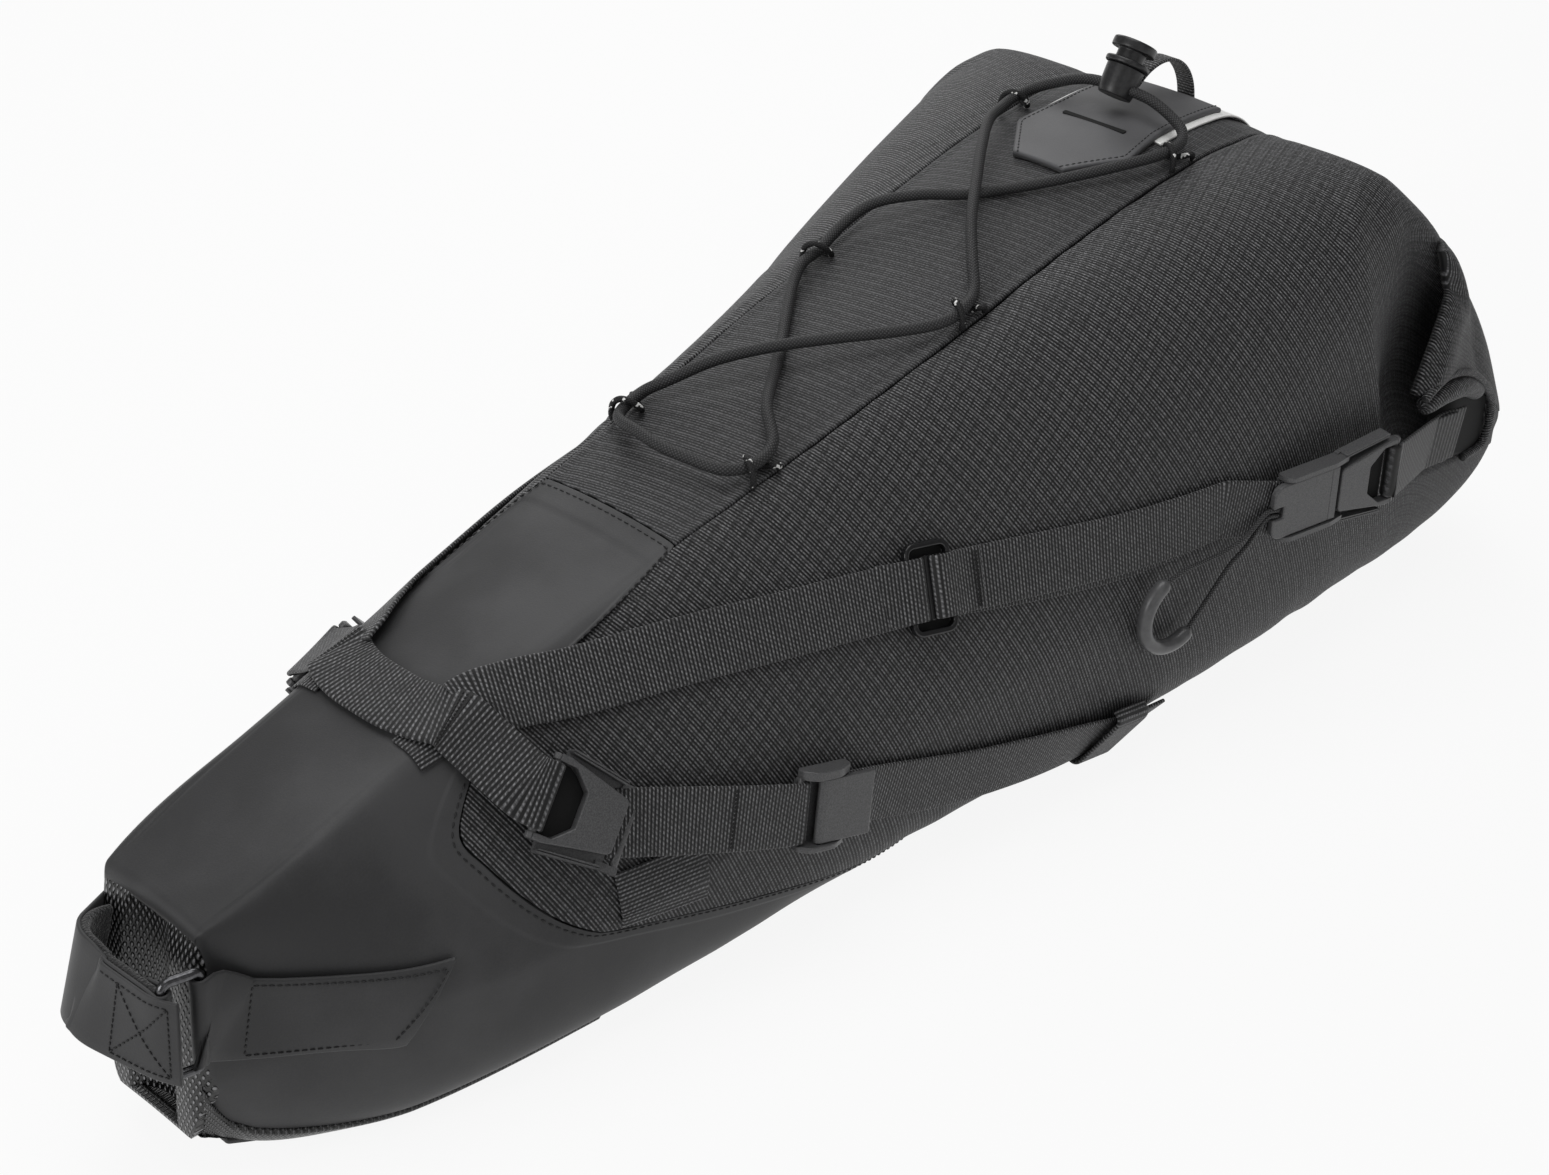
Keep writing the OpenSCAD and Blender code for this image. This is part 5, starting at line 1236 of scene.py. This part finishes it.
# the patches: only the left one goes round the ring
on_nose = skin_run(PATCH_ROUTE, WEB_LIFT)
patches = (("left", 1, 90, [plan_arc(RING_REAR, EYE_R, 60, 290), on_nose]), ("right", -1, 40, [on_nose]))
for name, side, relax, patch_runs in patches:
    dress(strap("strap_patch_cloth_" + name, patch_runs, PATCH_W, 1.8, side, relax, PATCH_SLANT),
          hood_cloth_finish, "bag", "coated_cloth", "strap_patch_" + name)
print("seat-post strap made")

# %% [markdown]
# ## Buckles
# The fittings are plates with bevelled edges in the frame of each buckle: x along the strap,
# y across it, z out of the bag. The hook's tongue lies on the seat between two low rails, and
# a thin dark plate on the seat stands for the deep shade in the hook's opening.

# %% Hook buckles
HALF, WEB_SLOT, HOOK_T, HOOK_LEN = 15.5, 12.9, 4.2, 30.0
SEAT_HALF, SEAT_END, SEAT_T = 19.0, 15.7, 2.2
RAIL_TOP = BAR_Z + 1
BAR_R, PIN_R = 1.5, 1.2
HOOK = filleted([[0, HALF, 0], [4, HALF, 2], [HOOK_LEN, 10, 2.2], [HOOK_LEN, -10, 2.2], [4, -HALF, 2],
                 [0, -HALF, 0], [0, -WEB_SLOT, 0], [7, -WEB_SLOT, 1.5], [14, -6.45, 1.5], [14, 6.45, 1.5],
                 [7, WEB_SLOT, 1.5], [0, WEB_SLOT, 0]])
SEAT = filleted([[4, SEAT_HALF, 1], [HOOK_LEN, SEAT_END, 1], [HOOK_LEN, -SEAT_END, 1],
                 [4, -SEAT_HALF, 1]])
SHADE = [[3.0, -15.0], [15.0, -7.5], [15.0, 7.5], [3.0, 15.0]]


def box(x0, x1, y0, y1):
    """Outline of a rectangle."""
    return [[x0, y0], [x1, y0], [x1, y1], [x0, y1]]


def rail_outline(way):
    """Rail along one slanting side of the seat, with round ends."""
    return filleted([[4, way * SEAT_HALF, 0.9], [28, way * (SEAT_END + 0.4), 0.9],
                     [28, way * (SEAT_END - 1.2), 0.9], [4, way * (SEAT_HALF - 1.6), 0.9]])


def crossbar(name, m, x, z, half, r, side):
    """Round bar across a fitting, its ends slightly rounded."""
    y = np.array([-half, -half + 0.25, half - 0.25, half])
    return tube(name, place(m, np.column_stack([np.full(4, x), y, np.full(4, z)])),
                r * np.array([0.85, 1, 1, 0.85]), 20, side)


def two_walls(outline, inside, out_left, out_right):
    """Slabs for the two side walls of a buckle."""
    return [(outline, inside, out_left, "y"), (outline, -out_right, -inside, "y")]


SEAT_SLABS = [(SEAT, 0, SEAT_T), (rail_outline(1), 0, RAIL_TOP), (rail_outline(-1), 0, RAIL_TOP)]
HOOK_SLABS = [(HOOK, BAR_Z - HOOK_T / 2, BAR_Z + HOOK_T / 2)]
HOOK_SLABS += two_walls(arc(0, BAR_Z, HOOK_T / 2, 90, 270, 9), WEB_SLOT, HALF, HALF)
LEGS = [(box(27, 36.1, i * WEB_SLOT, i * SEAT_END), 0, 3) for i in (1, -1)]
for name, side in SIDES:
    for at, m in (("rail", rail_m), ("tail", tail_m)):
        hook = "%s_hook_%s" % (at, name)
        plate = plates("%s_hook_plate_%s" % (at, name), m, HOOK_SLABS, side, 1.1, 4)
        dress(plate, buckle_plastic, hook, "buckle_plastic", hook)
        bar = crossbar("%s_hook_bar_%s" % (at, name), m, 0, BAR_Z, WEB_SLOT + 0.4, BAR_R, side)
        dress(bar, buckle_plastic, hook, "buckle_plastic")
        shade = plates("%s_seat_shade_%s" % (at, name), m, [(SHADE, 2.1, 2.4)], side, 0.1, 1)
        dress(shade, painted_shade_finish, "bag", "buckle_plastic")
    catch = plates("rail_catch_plate_" + name, rail_m, SEAT_SLABS + LEGS, side, 0.6, 3)
    dress(catch, buckle_plastic, "bag", "buckle_plastic", "rail_catch_" + name)
    dress(crossbar("rail_catch_bar_" + name, rail_m, 34.6, 1.5, WEB_SLOT + 0.3, BAR_R, side),
          buckle_plastic, "bag", "buckle_plastic")

# %% [markdown]
# The tail buckle adds a release lever between two walls. The lever's front has a slot for the
# pull cord. The cam buckle too has two walls, round a lever that lies flat when it grips. The
# slider is a frame of thin wire-like loops and bars, with the strap folded over its bars.

# %% Tail and cam buckles
WALL_IN, WALL = 13.0, 2.2
LEVER_PIN = (39.2, 5.0)
TAIL_WALL = filleted([[26, 0, 0], [60.2, 0, 1.5], [60.2, 7.4, 5], [34, 7.4, 3], [26, 5.7, 1]])
CAM_WALL = filleted([[-9, 0, 1], [13, 0, 1], [13, 4.5, 2], [6, 8.0, 9], [-5, 8.0, 6], [-9, 4.2, 3]])
half = WALL_IN - 0.4
LEVER = filleted([[35.2, half, 0], [35.2, -half, 0], [66.2, -half, 5], [66.2, -2.6, 0], [60.8, -2.6, 0],
                  [60.8, 2.6, 0], [66.2, 2.6, 0], [66.2, half, 5]])
THIN = box(31.2, 35.7, -half, half)
CAM_LEVER = [[-1.9, 4.6], [-1.2, 3.5], [0.5, 3.2], [2.2, 3.9], [3.5, 4.4], [22.5, 4.4], [24, 5.2], [24, 6.0],
             [23, 6.8], [1.0, 6.8], [-0.8, 6.5], [-1.7, 5.7]]
# slider: a rounded loop at each edge of the strap, three bars, dark plates of painted shade in
# the loops and under the strap, and the strap's two folds as (x, z)
SLIDER_END = [[10.2, 11.6, 0], [10.2, 17.8, 4.6], [-10.2, 17.8, 4.6], [-10.2, 11.6, 0], [-8.0, 11.6, 0],
              [-8.0, 15.4, 2.4], [8.0, 15.4, 2.4], [8.0, 11.6, 0]]
SLIDER_FRONT = [[-22, 1.0], [-18, 1.7], [-14, 2.5], [-10, 3.6], [-6, 3.9], [-3.4, 3.3], [-2.2, 1.6]]
SLIDER_REAR = [[2.0, 1.6], [2.1, 3.4], [3.2, 4.6], [5.5, 4.6], [9, 3.9], [13, 2.9], [18, 2.1],
               [24, 1.7]]
SLIDER_ENDS = [(filleted([[i * x, i * y, r] for x, y, r in SLIDER_END]), 1.0, 4.4) for i in (1, -1)]
SLIDER_BARS = [(box(x, x + 2.2, -12.6, 12.6), 1.0, 3.0) for x in (-10, -1.1, 7.8)]
SLIDER_PAINTED_SHADE = [(box(-8, 8, i * 11.8, i * 15.8), 0.9, 1.3) for i in (1, -1)]
SLIDER_PAINTED_SHADE += [(box(-2.6, 2.8, -12.2, 12.2), 1.6, 2.9)]
IN_WALLS, ON_WALLS = WALL_IN + 0.3, WALL_IN + WALL
TAIL_SLABS = SEAT_SLABS + [(box(43.2, 60.2, -IN_WALLS, IN_WALLS), 0, 1)]
TAIL_SLABS += two_walls(TAIL_WALL, WALL_IN, ON_WALLS, ON_WALLS)
CAM_SLABS = [(box(-3.6, 11, -IN_WALLS, IN_WALLS), 0, 1)]
CAM_SLABS += two_walls(CAM_WALL, WALL_IN, WALL_IN + 3.6, ON_WALLS)
PIN_HOLE = [[LEVER_PIN[0], ON_WALLS + y, LEVER_PIN[1] - 1.2] for y in (-0.4, 0.06)]
for name, side in SIDES:
    lever_name, cam_name, slider_name = ("%s_%s" % (kind, name) for kind in
                                         ("tail_lever", "cam_lever", "slider"))
    dress(plates("tail_catch_plate_" + name, tail_m, TAIL_SLABS, side, 0.45), buckle_plastic, "bag",
          "buckle_plastic", "tail_catch_" + name)
    lever = plates("tail_lever_plate_" + name, tail_m, [(LEVER, 3.4, 6.6), (THIN, 5.0, 6.6)], side, 0.9, 4)
    dress(lever, buckle_plastic, lever_name, "buckle_plastic", lever_name)
    # the pin's hole in the outside of one wall: a dark disc of painted shade
    dress(tube("tail_pin_hole_" + name, place(tail_m, PIN_HOLE), 1.5, 20, side), painted_shade_finish, "bag",
          "buckle_plastic")
    dress(crossbar("tail_lever_pin_" + name, tail_m, *LEVER_PIN, ON_WALLS - 0.1, PIN_R, side),
          slider_plastic, lever_name, "buckle_plastic")
    dress(plates("cam_body_plate_" + name, cam_m, CAM_SLABS, side, 0.9, 4), buckle_plastic, "bag",
          "buckle_plastic", "cam_body_" + name)
    dress(crossbar("cam_body_bar_" + name, cam_m, -7.5, 1.5, IN_WALLS, BAR_R, side), buckle_plastic,
          "bag", "buckle_plastic")
    dress(plates("cam_lever_plate_" + name, cam_m, [(CAM_LEVER, -half, half, "y")], side, 0.6, 3),
          buckle_plastic, cam_name, "buckle_plastic", cam_name)
    dress(crossbar("cam_lever_pin_" + name, cam_m, 0, 5.0, ON_WALLS - 0.1, PIN_R, side), slider_plastic,
          cam_name, "buckle_plastic")
    dress(plates("slider_frame_" + name, slider_m, SLIDER_ENDS + SLIDER_BARS, side, 0.8, 3),
          slider_plastic, slider_name, "buckle_plastic", slider_name)
    # dark plates of painted shade in the slider's loops and under the strap
    dress(plates("slider_inside_" + name, slider_m, SLIDER_PAINTED_SHADE, side, 0.1, 1), painted_shade_finish, slider_name,
          "buckle_plastic")
    for part, turns in (("front", SLIDER_FRONT), ("rear", SLIDER_REAR)):
        run = bent_run(slider_m, smooth_path(turns, 6), 0)
        dress(strap("slider_fold_%s_%s" % (part, name), [run], 24.0, 1.3, side, relax=2), strap_webbing,
              slider_name, "webbing")
print("buckles made")

# %% [markdown]
# ## Cords
# Each pull cord is one length of 2 mm cord. It leaves the slot in the lever, runs to the grip,
# goes through the soft tube and comes back to the slot. The shock cord is laced through the
# loops on the seam and passes through the cord lock.

# %% Pull cords and grips
GRIP_R, GRIP_FROM, GRIP_ARC, GRIP_D, PULL_D = 16.5, 104.0, 198.0, 6.4, 2.0
PULL_UPPER = [[404, -123.8, 93.2], [415, -124.6, 92], [426, -126.8, 92.6], [437, -129, 95.6]]
PULL_LOWER = [[439, -128.6, 90], [431, -126.6, 83.5], [423, -125.6, 76], [415, -125.2, 69.5]]
TURN_X, TURN_R = 63.5, 1.35


def in_turn(angle):
    """Point of the cord's turn inside the lever's slot."""
    a = math.radians(angle)
    return [TURN_X - TURN_R * math.cos(a), TURN_R * math.sin(a), 5.0]


def grip_bend(count):
    """Points along the middle of the grip's bend, in its own frame."""
    return np.column_stack([arc(0, 0, GRIP_R, GRIP_FROM, GRIP_FROM + GRIP_ARC, count), np.zeros(count)])


route = np.concatenate([place(tail_m, [in_turn(-50), in_turn(-90), [69.5, -TURN_R, 5.0]]),
                        PULL_UPPER[::-1], place(grip_m, grip_bend(40)[1:-1:3]), PULL_LOWER[::-1],
                        place(tail_m, [[69.5, TURN_R, 5.0], in_turn(90), in_turn(50)])])
route = even(smooth_path(route, 10), 1.0)
for name, side in SIDES:
    body = "tail_lever_" + name
    flare = GRIP_D / 2 * np.concatenate([[0.5, 0.86, 0.98], np.ones(42), [0.98, 0.86, 0.5]])
    grip = tube("pull_grip_tube_" + name, place(grip_m, grip_bend(len(flare))), flare, 28, side)
    dress(grip, grip_vinyl, body, "grip_rubber", "pull_grip_" + name)
    cord = tube("pull_cord_braid_" + name, route, PULL_D / 2, 12, side)
    dress(cord, thin_sheath, body, "cord", "pull_cord_" + name)
print("pull cord: %.0f mm each" % lengths(route)[-1])

# %% Lacing, shock cord and loops
BUNGEE = np.array([
    [507.3, 1, 229.8], [507.3, 11, 229.8], [507, 20, 228], [506, 30, 224], [503, 37, 221], [498, 40, 219.6],
    [488, 40, 219.4], [478, 38, 219], [462, 32, 220], [440, 18, 219], [420, 4, 216], [400, -10, 210],
    [384, -24, 203], [373, -34, 197], [362, -38, 195], [350, -37, 193], [335, -28, 192], [316, -13, 191],
    [298, 2, 189], [282, 17, 184], [268, 28, 177], [260, 34, 173], [248, 32.5, 171.6], [240, 27, 172],
    [236, 14, 174], [234, 0, 174], [236, -14, 173], [240, -27, 172], [250, -32.6, 172], [262, -31, 175],
    [274, -17, 180], [290, -5, 181], [306, 6, 183], [322, 18, 186], [340, 31, 189], [352, 37, 192],
    [364, 38, 194], [378, 39, 199], [392, 35, 205], [406, 23, 208], [420, 9, 208], [436, -7, 211],
    [452, -22, 215], [470, -34, 218], [483, -40, 219.3], [497, -40, 219.6], [504, -36, 222], [507, -28, 225],
    [507.3, -19, 228.5], [507.3, -11, 229.8], [507.3, -1, 229.8]])
dress(tube("bungee_cord_braid", even(smooth_path(BUNGEE, 8), 1.2), 2.3, 18), cord_sheath, "bag", "cord",
      "bungee_cord")
# a loop on the seam: along the seam, in towards the middle, up
LOOP = [[-6.5, -4.2, 0.3], [-6.3, -4.6, 3], [-5.2, -3.6, 7.2], [-3.6, -0.6, 9.4], [-1.6, 2.8, 8.2],
        [0.6, 4.6, 4.6], [2.4, 3.4, 1.55], [4.4, -0.5, 1.55], [5, -3.6, 3], [6.2, -4.8, 3.2],
        [7, -4.2, 0.3]]
for k, at in enumerate((0.385, 0.556, 0.752)):
    for name, side in SIDES:
        way = unit(skin(at + 0.004, 0.9) - skin(at - 0.004, 0.9))
        inward = [0, 1.0, 0]
        base = np.column_stack([way, inward, np.cross(way, inward)])
        path = np.asarray(LOOP) @ base.T + skin(at, 0.9)
        dress(tube("lacing_loop_%d_%s" % (k + 1, name), even(smooth_path(path, 8), 0.7), 1.25, 12, side),
              loop_sheath, "bag", "cord", "lacing_loops")
print("cords made")

# %% [markdown]
# ## The cord lock, the patches on the top and the ribbon
# The lock is turned work: a tapering barrel with a collar, and a button with a dished cap.

# %% Lock, patches, ribbon
lock = leaning(math.radians(35), [505, 0, 226.5])


def turned(name, m, profile):
    """Turned piece of 48 sides from (radius, height) points that go up outside and in over the
    top."""
    rz = smooth_path(profile, 3)
    a = np.arange(48) / 48 * 2 * math.pi
    rings = np.stack([rz[:, :1] * np.cos(a), rz[:, :1] * np.sin(a), rz[:, 1:] + 0 * a], -1)
    return carried(name, place(m, rings), lengths(rz), np.append(a, 2 * math.pi) * 8)


BARREL = [[0.3, 0.3], [6.4, 0], [7.4, 0.8], [7.9, 4], [8.2, 12.3], [8.3, 12.9], [9.2, 13.1], [9.6, 13.7],
          [9.6, 14.9], [9.0, 15.5], [6.8, 15.5], [6.5, 14.8], [6.5, 8.2], [0.3, 8.1]]
BUTTON = [[0.3, 13.0], [5.8, 13.0], [6.2, 13.4], [6.2, 19.4], [6.6, 19.75], [9.0, 19.8], [9.6, 20.4],
          [9.6, 22.9], [9.2, 23.7], [8.2, 23.9], [7.2, 23.3], [5.5, 22.6], [0.3, 22.3]]
dress(turned("lock_barrel_body", lock, BARREL), lock_plastic, "bag", "lock_plastic", "lock_barrel")
dress(turned("lock_button_cap", lock, BUTTON), lock_plastic, "lock_button", "lock_plastic", "lock_button")

# the ribbon for a finger is part of a circle in the middle plane
RIBBON_X, RIBBON_Z, RIBBON_R, RIBBON_T = 534, 208, 26, 1.4
circle = arc(RIBBON_X, RIBBON_Z, RIBBON_R, 129, 3, 40)
circle = circle[(circle[:, 0] >= RIBBON_X - 17) & (circle[:, 1] >= RIBBON_Z + 1)]
x, z = circle.T
points = np.column_stack([x, np.full(len(x), 0.5), z])
outward = np.column_stack([x - RIBBON_X, 0 * x, z - RIBBON_Z]) / RIBBON_R
dress(strap("finger_ribbon_loop", [(points - RIBBON_T / 2 * outward, outward)], 9, RIBBON_T),
      strap_webbing, "bag", "webbing", "finger_ribbon")

PATCH_EDGE = np.array([[0.695, 13], [0.73, 29], [0.765, 26], [0.835, 26]])


def top_patch(name, edge, low, thick):
    """Sheet over the top. edge holds pairs of a share of the length and the half-width there."""
    start, end = edge[0, 0], edge[-1, 0]
    u, v = grid(60, start, end, -np.cos(np.linspace(0, math.pi, 61)))
    half = np.interp(u, *edge.T)
    inset = np.minimum.reduce([(u - start) * BAG_LEN, (end - u) * BAG_LEN, half * (1 - np.abs(v))])
    form = low + thick + lip(inset, thick * 0.7)
    return panel(name, u, v * half / station(u)[..., 1], form, thick * 0.9)


light = top_patch("light_patch_cloth", PATCH_EDGE, 1.6, 1.6)
dress(light, patch_finish, "bag", "coated_cloth", "light_patch")
beads = top_patch("reflective_panel_film", np.array([[0.762, 29.6], [0.868, 29.6]]), 0.5, 0.6)
dress(beads, reflective, "bag", "reflective_cloth", "reflective_panel")
slot_m = skin_frame(0.752, 0.0, 0.01, 0.0, 3.2)
slot_outline = filleted([[x, y, 0.6] for x, y in box(-1.2, 1.2, -16, 16)])
# the slit in the patch is a thin dark plate of painted shade
slit = plates("light_patch_slit", slot_m, [(slot_outline, -0.6, 0.12)], 1, 0.05, 1)
dress(slit, painted_shade_finish, "bag", "coated_cloth")
print("lock and patches made")

# %% [markdown]
# ## Stitching
# Every row of thread is real stitches, laid along the same routes as the straps and panels.

# %% Stitching
def over_skin(u, t, lift):
    """Line of points over the cloth, at a height, with their normals."""
    n = skin_out(u, t)
    return skin(u, t) + lift * n, n


t = np.linspace(-2.5, 2.5, 300)
dress(thread("hood_stitches", [over_skin(hood_end(t) - 3.2 / BAG_LEN, t, 0.05)]), sewing_thread, "bag",
      "coated_cloth")

# round each patch; the row along its slanting end stands a little higher
patch_band = strap_path([on_nose])
front, end = 5.0, lengths(patch_band[0])[-1] - 4.0
near_v, far_v, cut = PATCH_W[0] / 2 - 2.6, PATCH_W[-1] / 2 - 2.4, PATCH_SLANT - 2.0
runs = rows_on(patch_band, [((front, -near_v), (end - cut, -far_v)), ((front, near_v), (end, far_v)),
                            ((front, -near_v), (front, near_v))], 1.95, CROWN)
runs += rows_on(patch_band, [((end - cut, -far_v), (end, far_v))], 2.6, CROWN)
for name, side in SIDES:
    dress(thread("strap_patch_stitches_" + name, runs, 2.6, 2.1, 0.42, side), sewing_thread, "bag",
          "coated_cloth")

# a box with a cross on the end of the seat-post strap, one of its sides longer
far_s = lengths(end_band[0])[-1] - 3.5
near_s, low_v, high_v = far_s - 22.0, -14, 14
runs = rows_on(end_band, [((6, high_v), (far_s, high_v)), ((near_s, low_v), (far_s, low_v)),
                          ((near_s, low_v), (near_s, high_v)), ((far_s, low_v), (far_s, high_v)),
                          ((near_s, low_v), (far_s, high_v)), ((near_s, high_v), (far_s, low_v))], 1.65)
dress(thread("grip_end_stitches", runs, 2.4, 1.9, 0.38), sewing_thread, "bag", "coated_cloth")

# bar-tacks: three close rows across a strap; the one on the side strap slides with its slider
tack = [((0, -11), (0, 11)), ((0.9, 11), (0.9, -11)), ((-0.9, 11), (-0.9, -11))]
rail_band, side_band, link_band = strap_path(down_left), strap_path([over_side]), strap_path([link_run])
by_slider = np.argmin(np.linalg.norm(side_band[0] - place(slider_m, [21, 0, 0]), axis=1))
tacks = (("rail", rail_band, 0.40 * lengths(rail_band[0])[-1], WEB_T, "bag"),
         ("side", side_band, lengths(side_band[0])[by_slider], 2.9, None),
         ("link", link_band, 0.35 * lengths(link_band[0])[-1], WEB_T, "bag"))
for name, side in SIDES:
    for label, band, middle, lift, body in tacks:
        rows = rows_on(band, [((middle + a, va), (middle + b, vb)) for (a, va), (b, vb) in tack], lift)
        dress(thread("%s_strap_tack_%s" % (label, name), rows, 1.5, 1.3, 0.4, side), sewing_thread,
              body or "slider_" + name, "webbing")

# along both sides of the patch on the top
u = np.interp(np.linspace(0, 1, 80), [0, 0.25, 0.5, 1], PATCH_EDGE[:, 0])
share = (np.interp(u, *PATCH_EDGE.T) - 2.6) / station(u)[:, 1]
runs = [over_skin(u, way * share, 3.2) for way in (-1, 1)]
dress(thread("light_patch_stitches", runs, 2.6, 2.0, 0.35), sewing_thread, "bag", "coated_cloth")
print("stitches sewn")

# %% [markdown]
# ## What lies inside
# The stiffening sheets, the strip in the mouth and the spring in the lock keep the shapes that
# the frame gives them.

# %% Inner parts
for node, finish in (("base_stiffener", stiff_sheet), ("nose_stiffener", stiff_sheet),
                     ("mouth_stiffener", stiff_sheet), ("lock_spring", ring_nickel)):
    for material_slot in bpy.data.objects[node].material_slots:
        material_slot.material = finish

# %% [markdown]
# ## Floor and light
# The floor looks nearly white to the camera and still takes a soft shadow. Four soft lamps light
# the bag from above, from the rider's left, from the nose and from behind, under a pale sky.

# %% Floor, lamps and sky
ground = bpy.data.meshes.new("floor")
ground.from_pydata([(-30, -30, 0), (30, -30, 0), (30, 30, 0), (-30, 30, 0)], [], [(0, 1, 2, 3)])
floor = bpy.data.objects.new("floor", ground)
bpy.context.scene.collection.objects.link(floor)


def seen_by(tree, *kinds):
    """1 where a ray is of one of the kinds, else 0."""
    rays = add(tree, "LightPath").outputs
    seen = rays["Is %s Ray" % kinds[0]]
    for kind in kinds[1:]:
        seen = add(tree, "Math", {0: seen, 1: rays["Is %s Ray" % kind]}, operation="MAXIMUM").outputs[0]
    return seen


paper, tree, shader = new_material("floor_paper", 0.9, Base_Color=(0.8, 0.8, 0.8, 1))
seen = seen_by(tree, "Camera", "Glossy", "Transmission")
white = add(tree, "Emission", {"Color": (1, 1, 1, 1), "Strength": 1.0})
mix = add(tree, "MixShader", {0: times(tree, seen, 0.9), 1: shader.outputs[0], 2: white.outputs[0]})
tree.links.new(mix.outputs[0], tree.nodes["Material Output"].inputs["Surface"])
floor.data.materials.append(paper)

world = bpy.data.worlds.new("sky")
bpy.context.scene.world = world
world.use_nodes = True
tree = world.node_tree
seen = seen_by(tree, "Camera", "Transmission")
strength = add(tree, "MapRange", {"Value": seen, "To Min": 0.24, "To Max": 1.0})
tree.links.new(strength.outputs[0], tree.nodes["Background"].inputs["Strength"])
tree.nodes["Background"].inputs["Color"].default_value = (1, 1, 1, 1)


def lamp(name, where, aim, size, power):
    """Square soft lamp that points from where to aim, in metres."""
    made = bpy.data.objects.new(name, bpy.data.lights.new(name, "AREA"))
    made.data.size = size
    made.data.energy = power
    z = unit(np.subtract(where, aim))
    x = unit(np.cross([0, 0, 1], z)) if abs(z[2]) < 0.99 else np.array([1.0, 0, 0])
    matrix = np.eye(4)
    matrix[:3, :4] = np.column_stack([x, np.cross(z, x), z, where])
    made.matrix_world = matrix.T.tolist()
    bpy.context.scene.collection.objects.link(made)
    return made


lamp("top_lamp", (0.1, 0.1, 1.6), (0.0, 0.0, 0.1), 1.2, 11)
lamp("left_lamp", (-0.5, -1.5, 0.9), (0.0, 0.0, 0.1), 1.1, 1.6)
lamp("nose_lamp", (-1.6, 0.3, 0.8), (0.0, 0.0, 0.1), 0.9, 10)
lamp("rear_lamp", (0.8, 1.0, 0.9), (-0.25, 0.0, 0.1), 0.8, 5)
bpy.context.scene.view_settings.view_transform = "Standard"
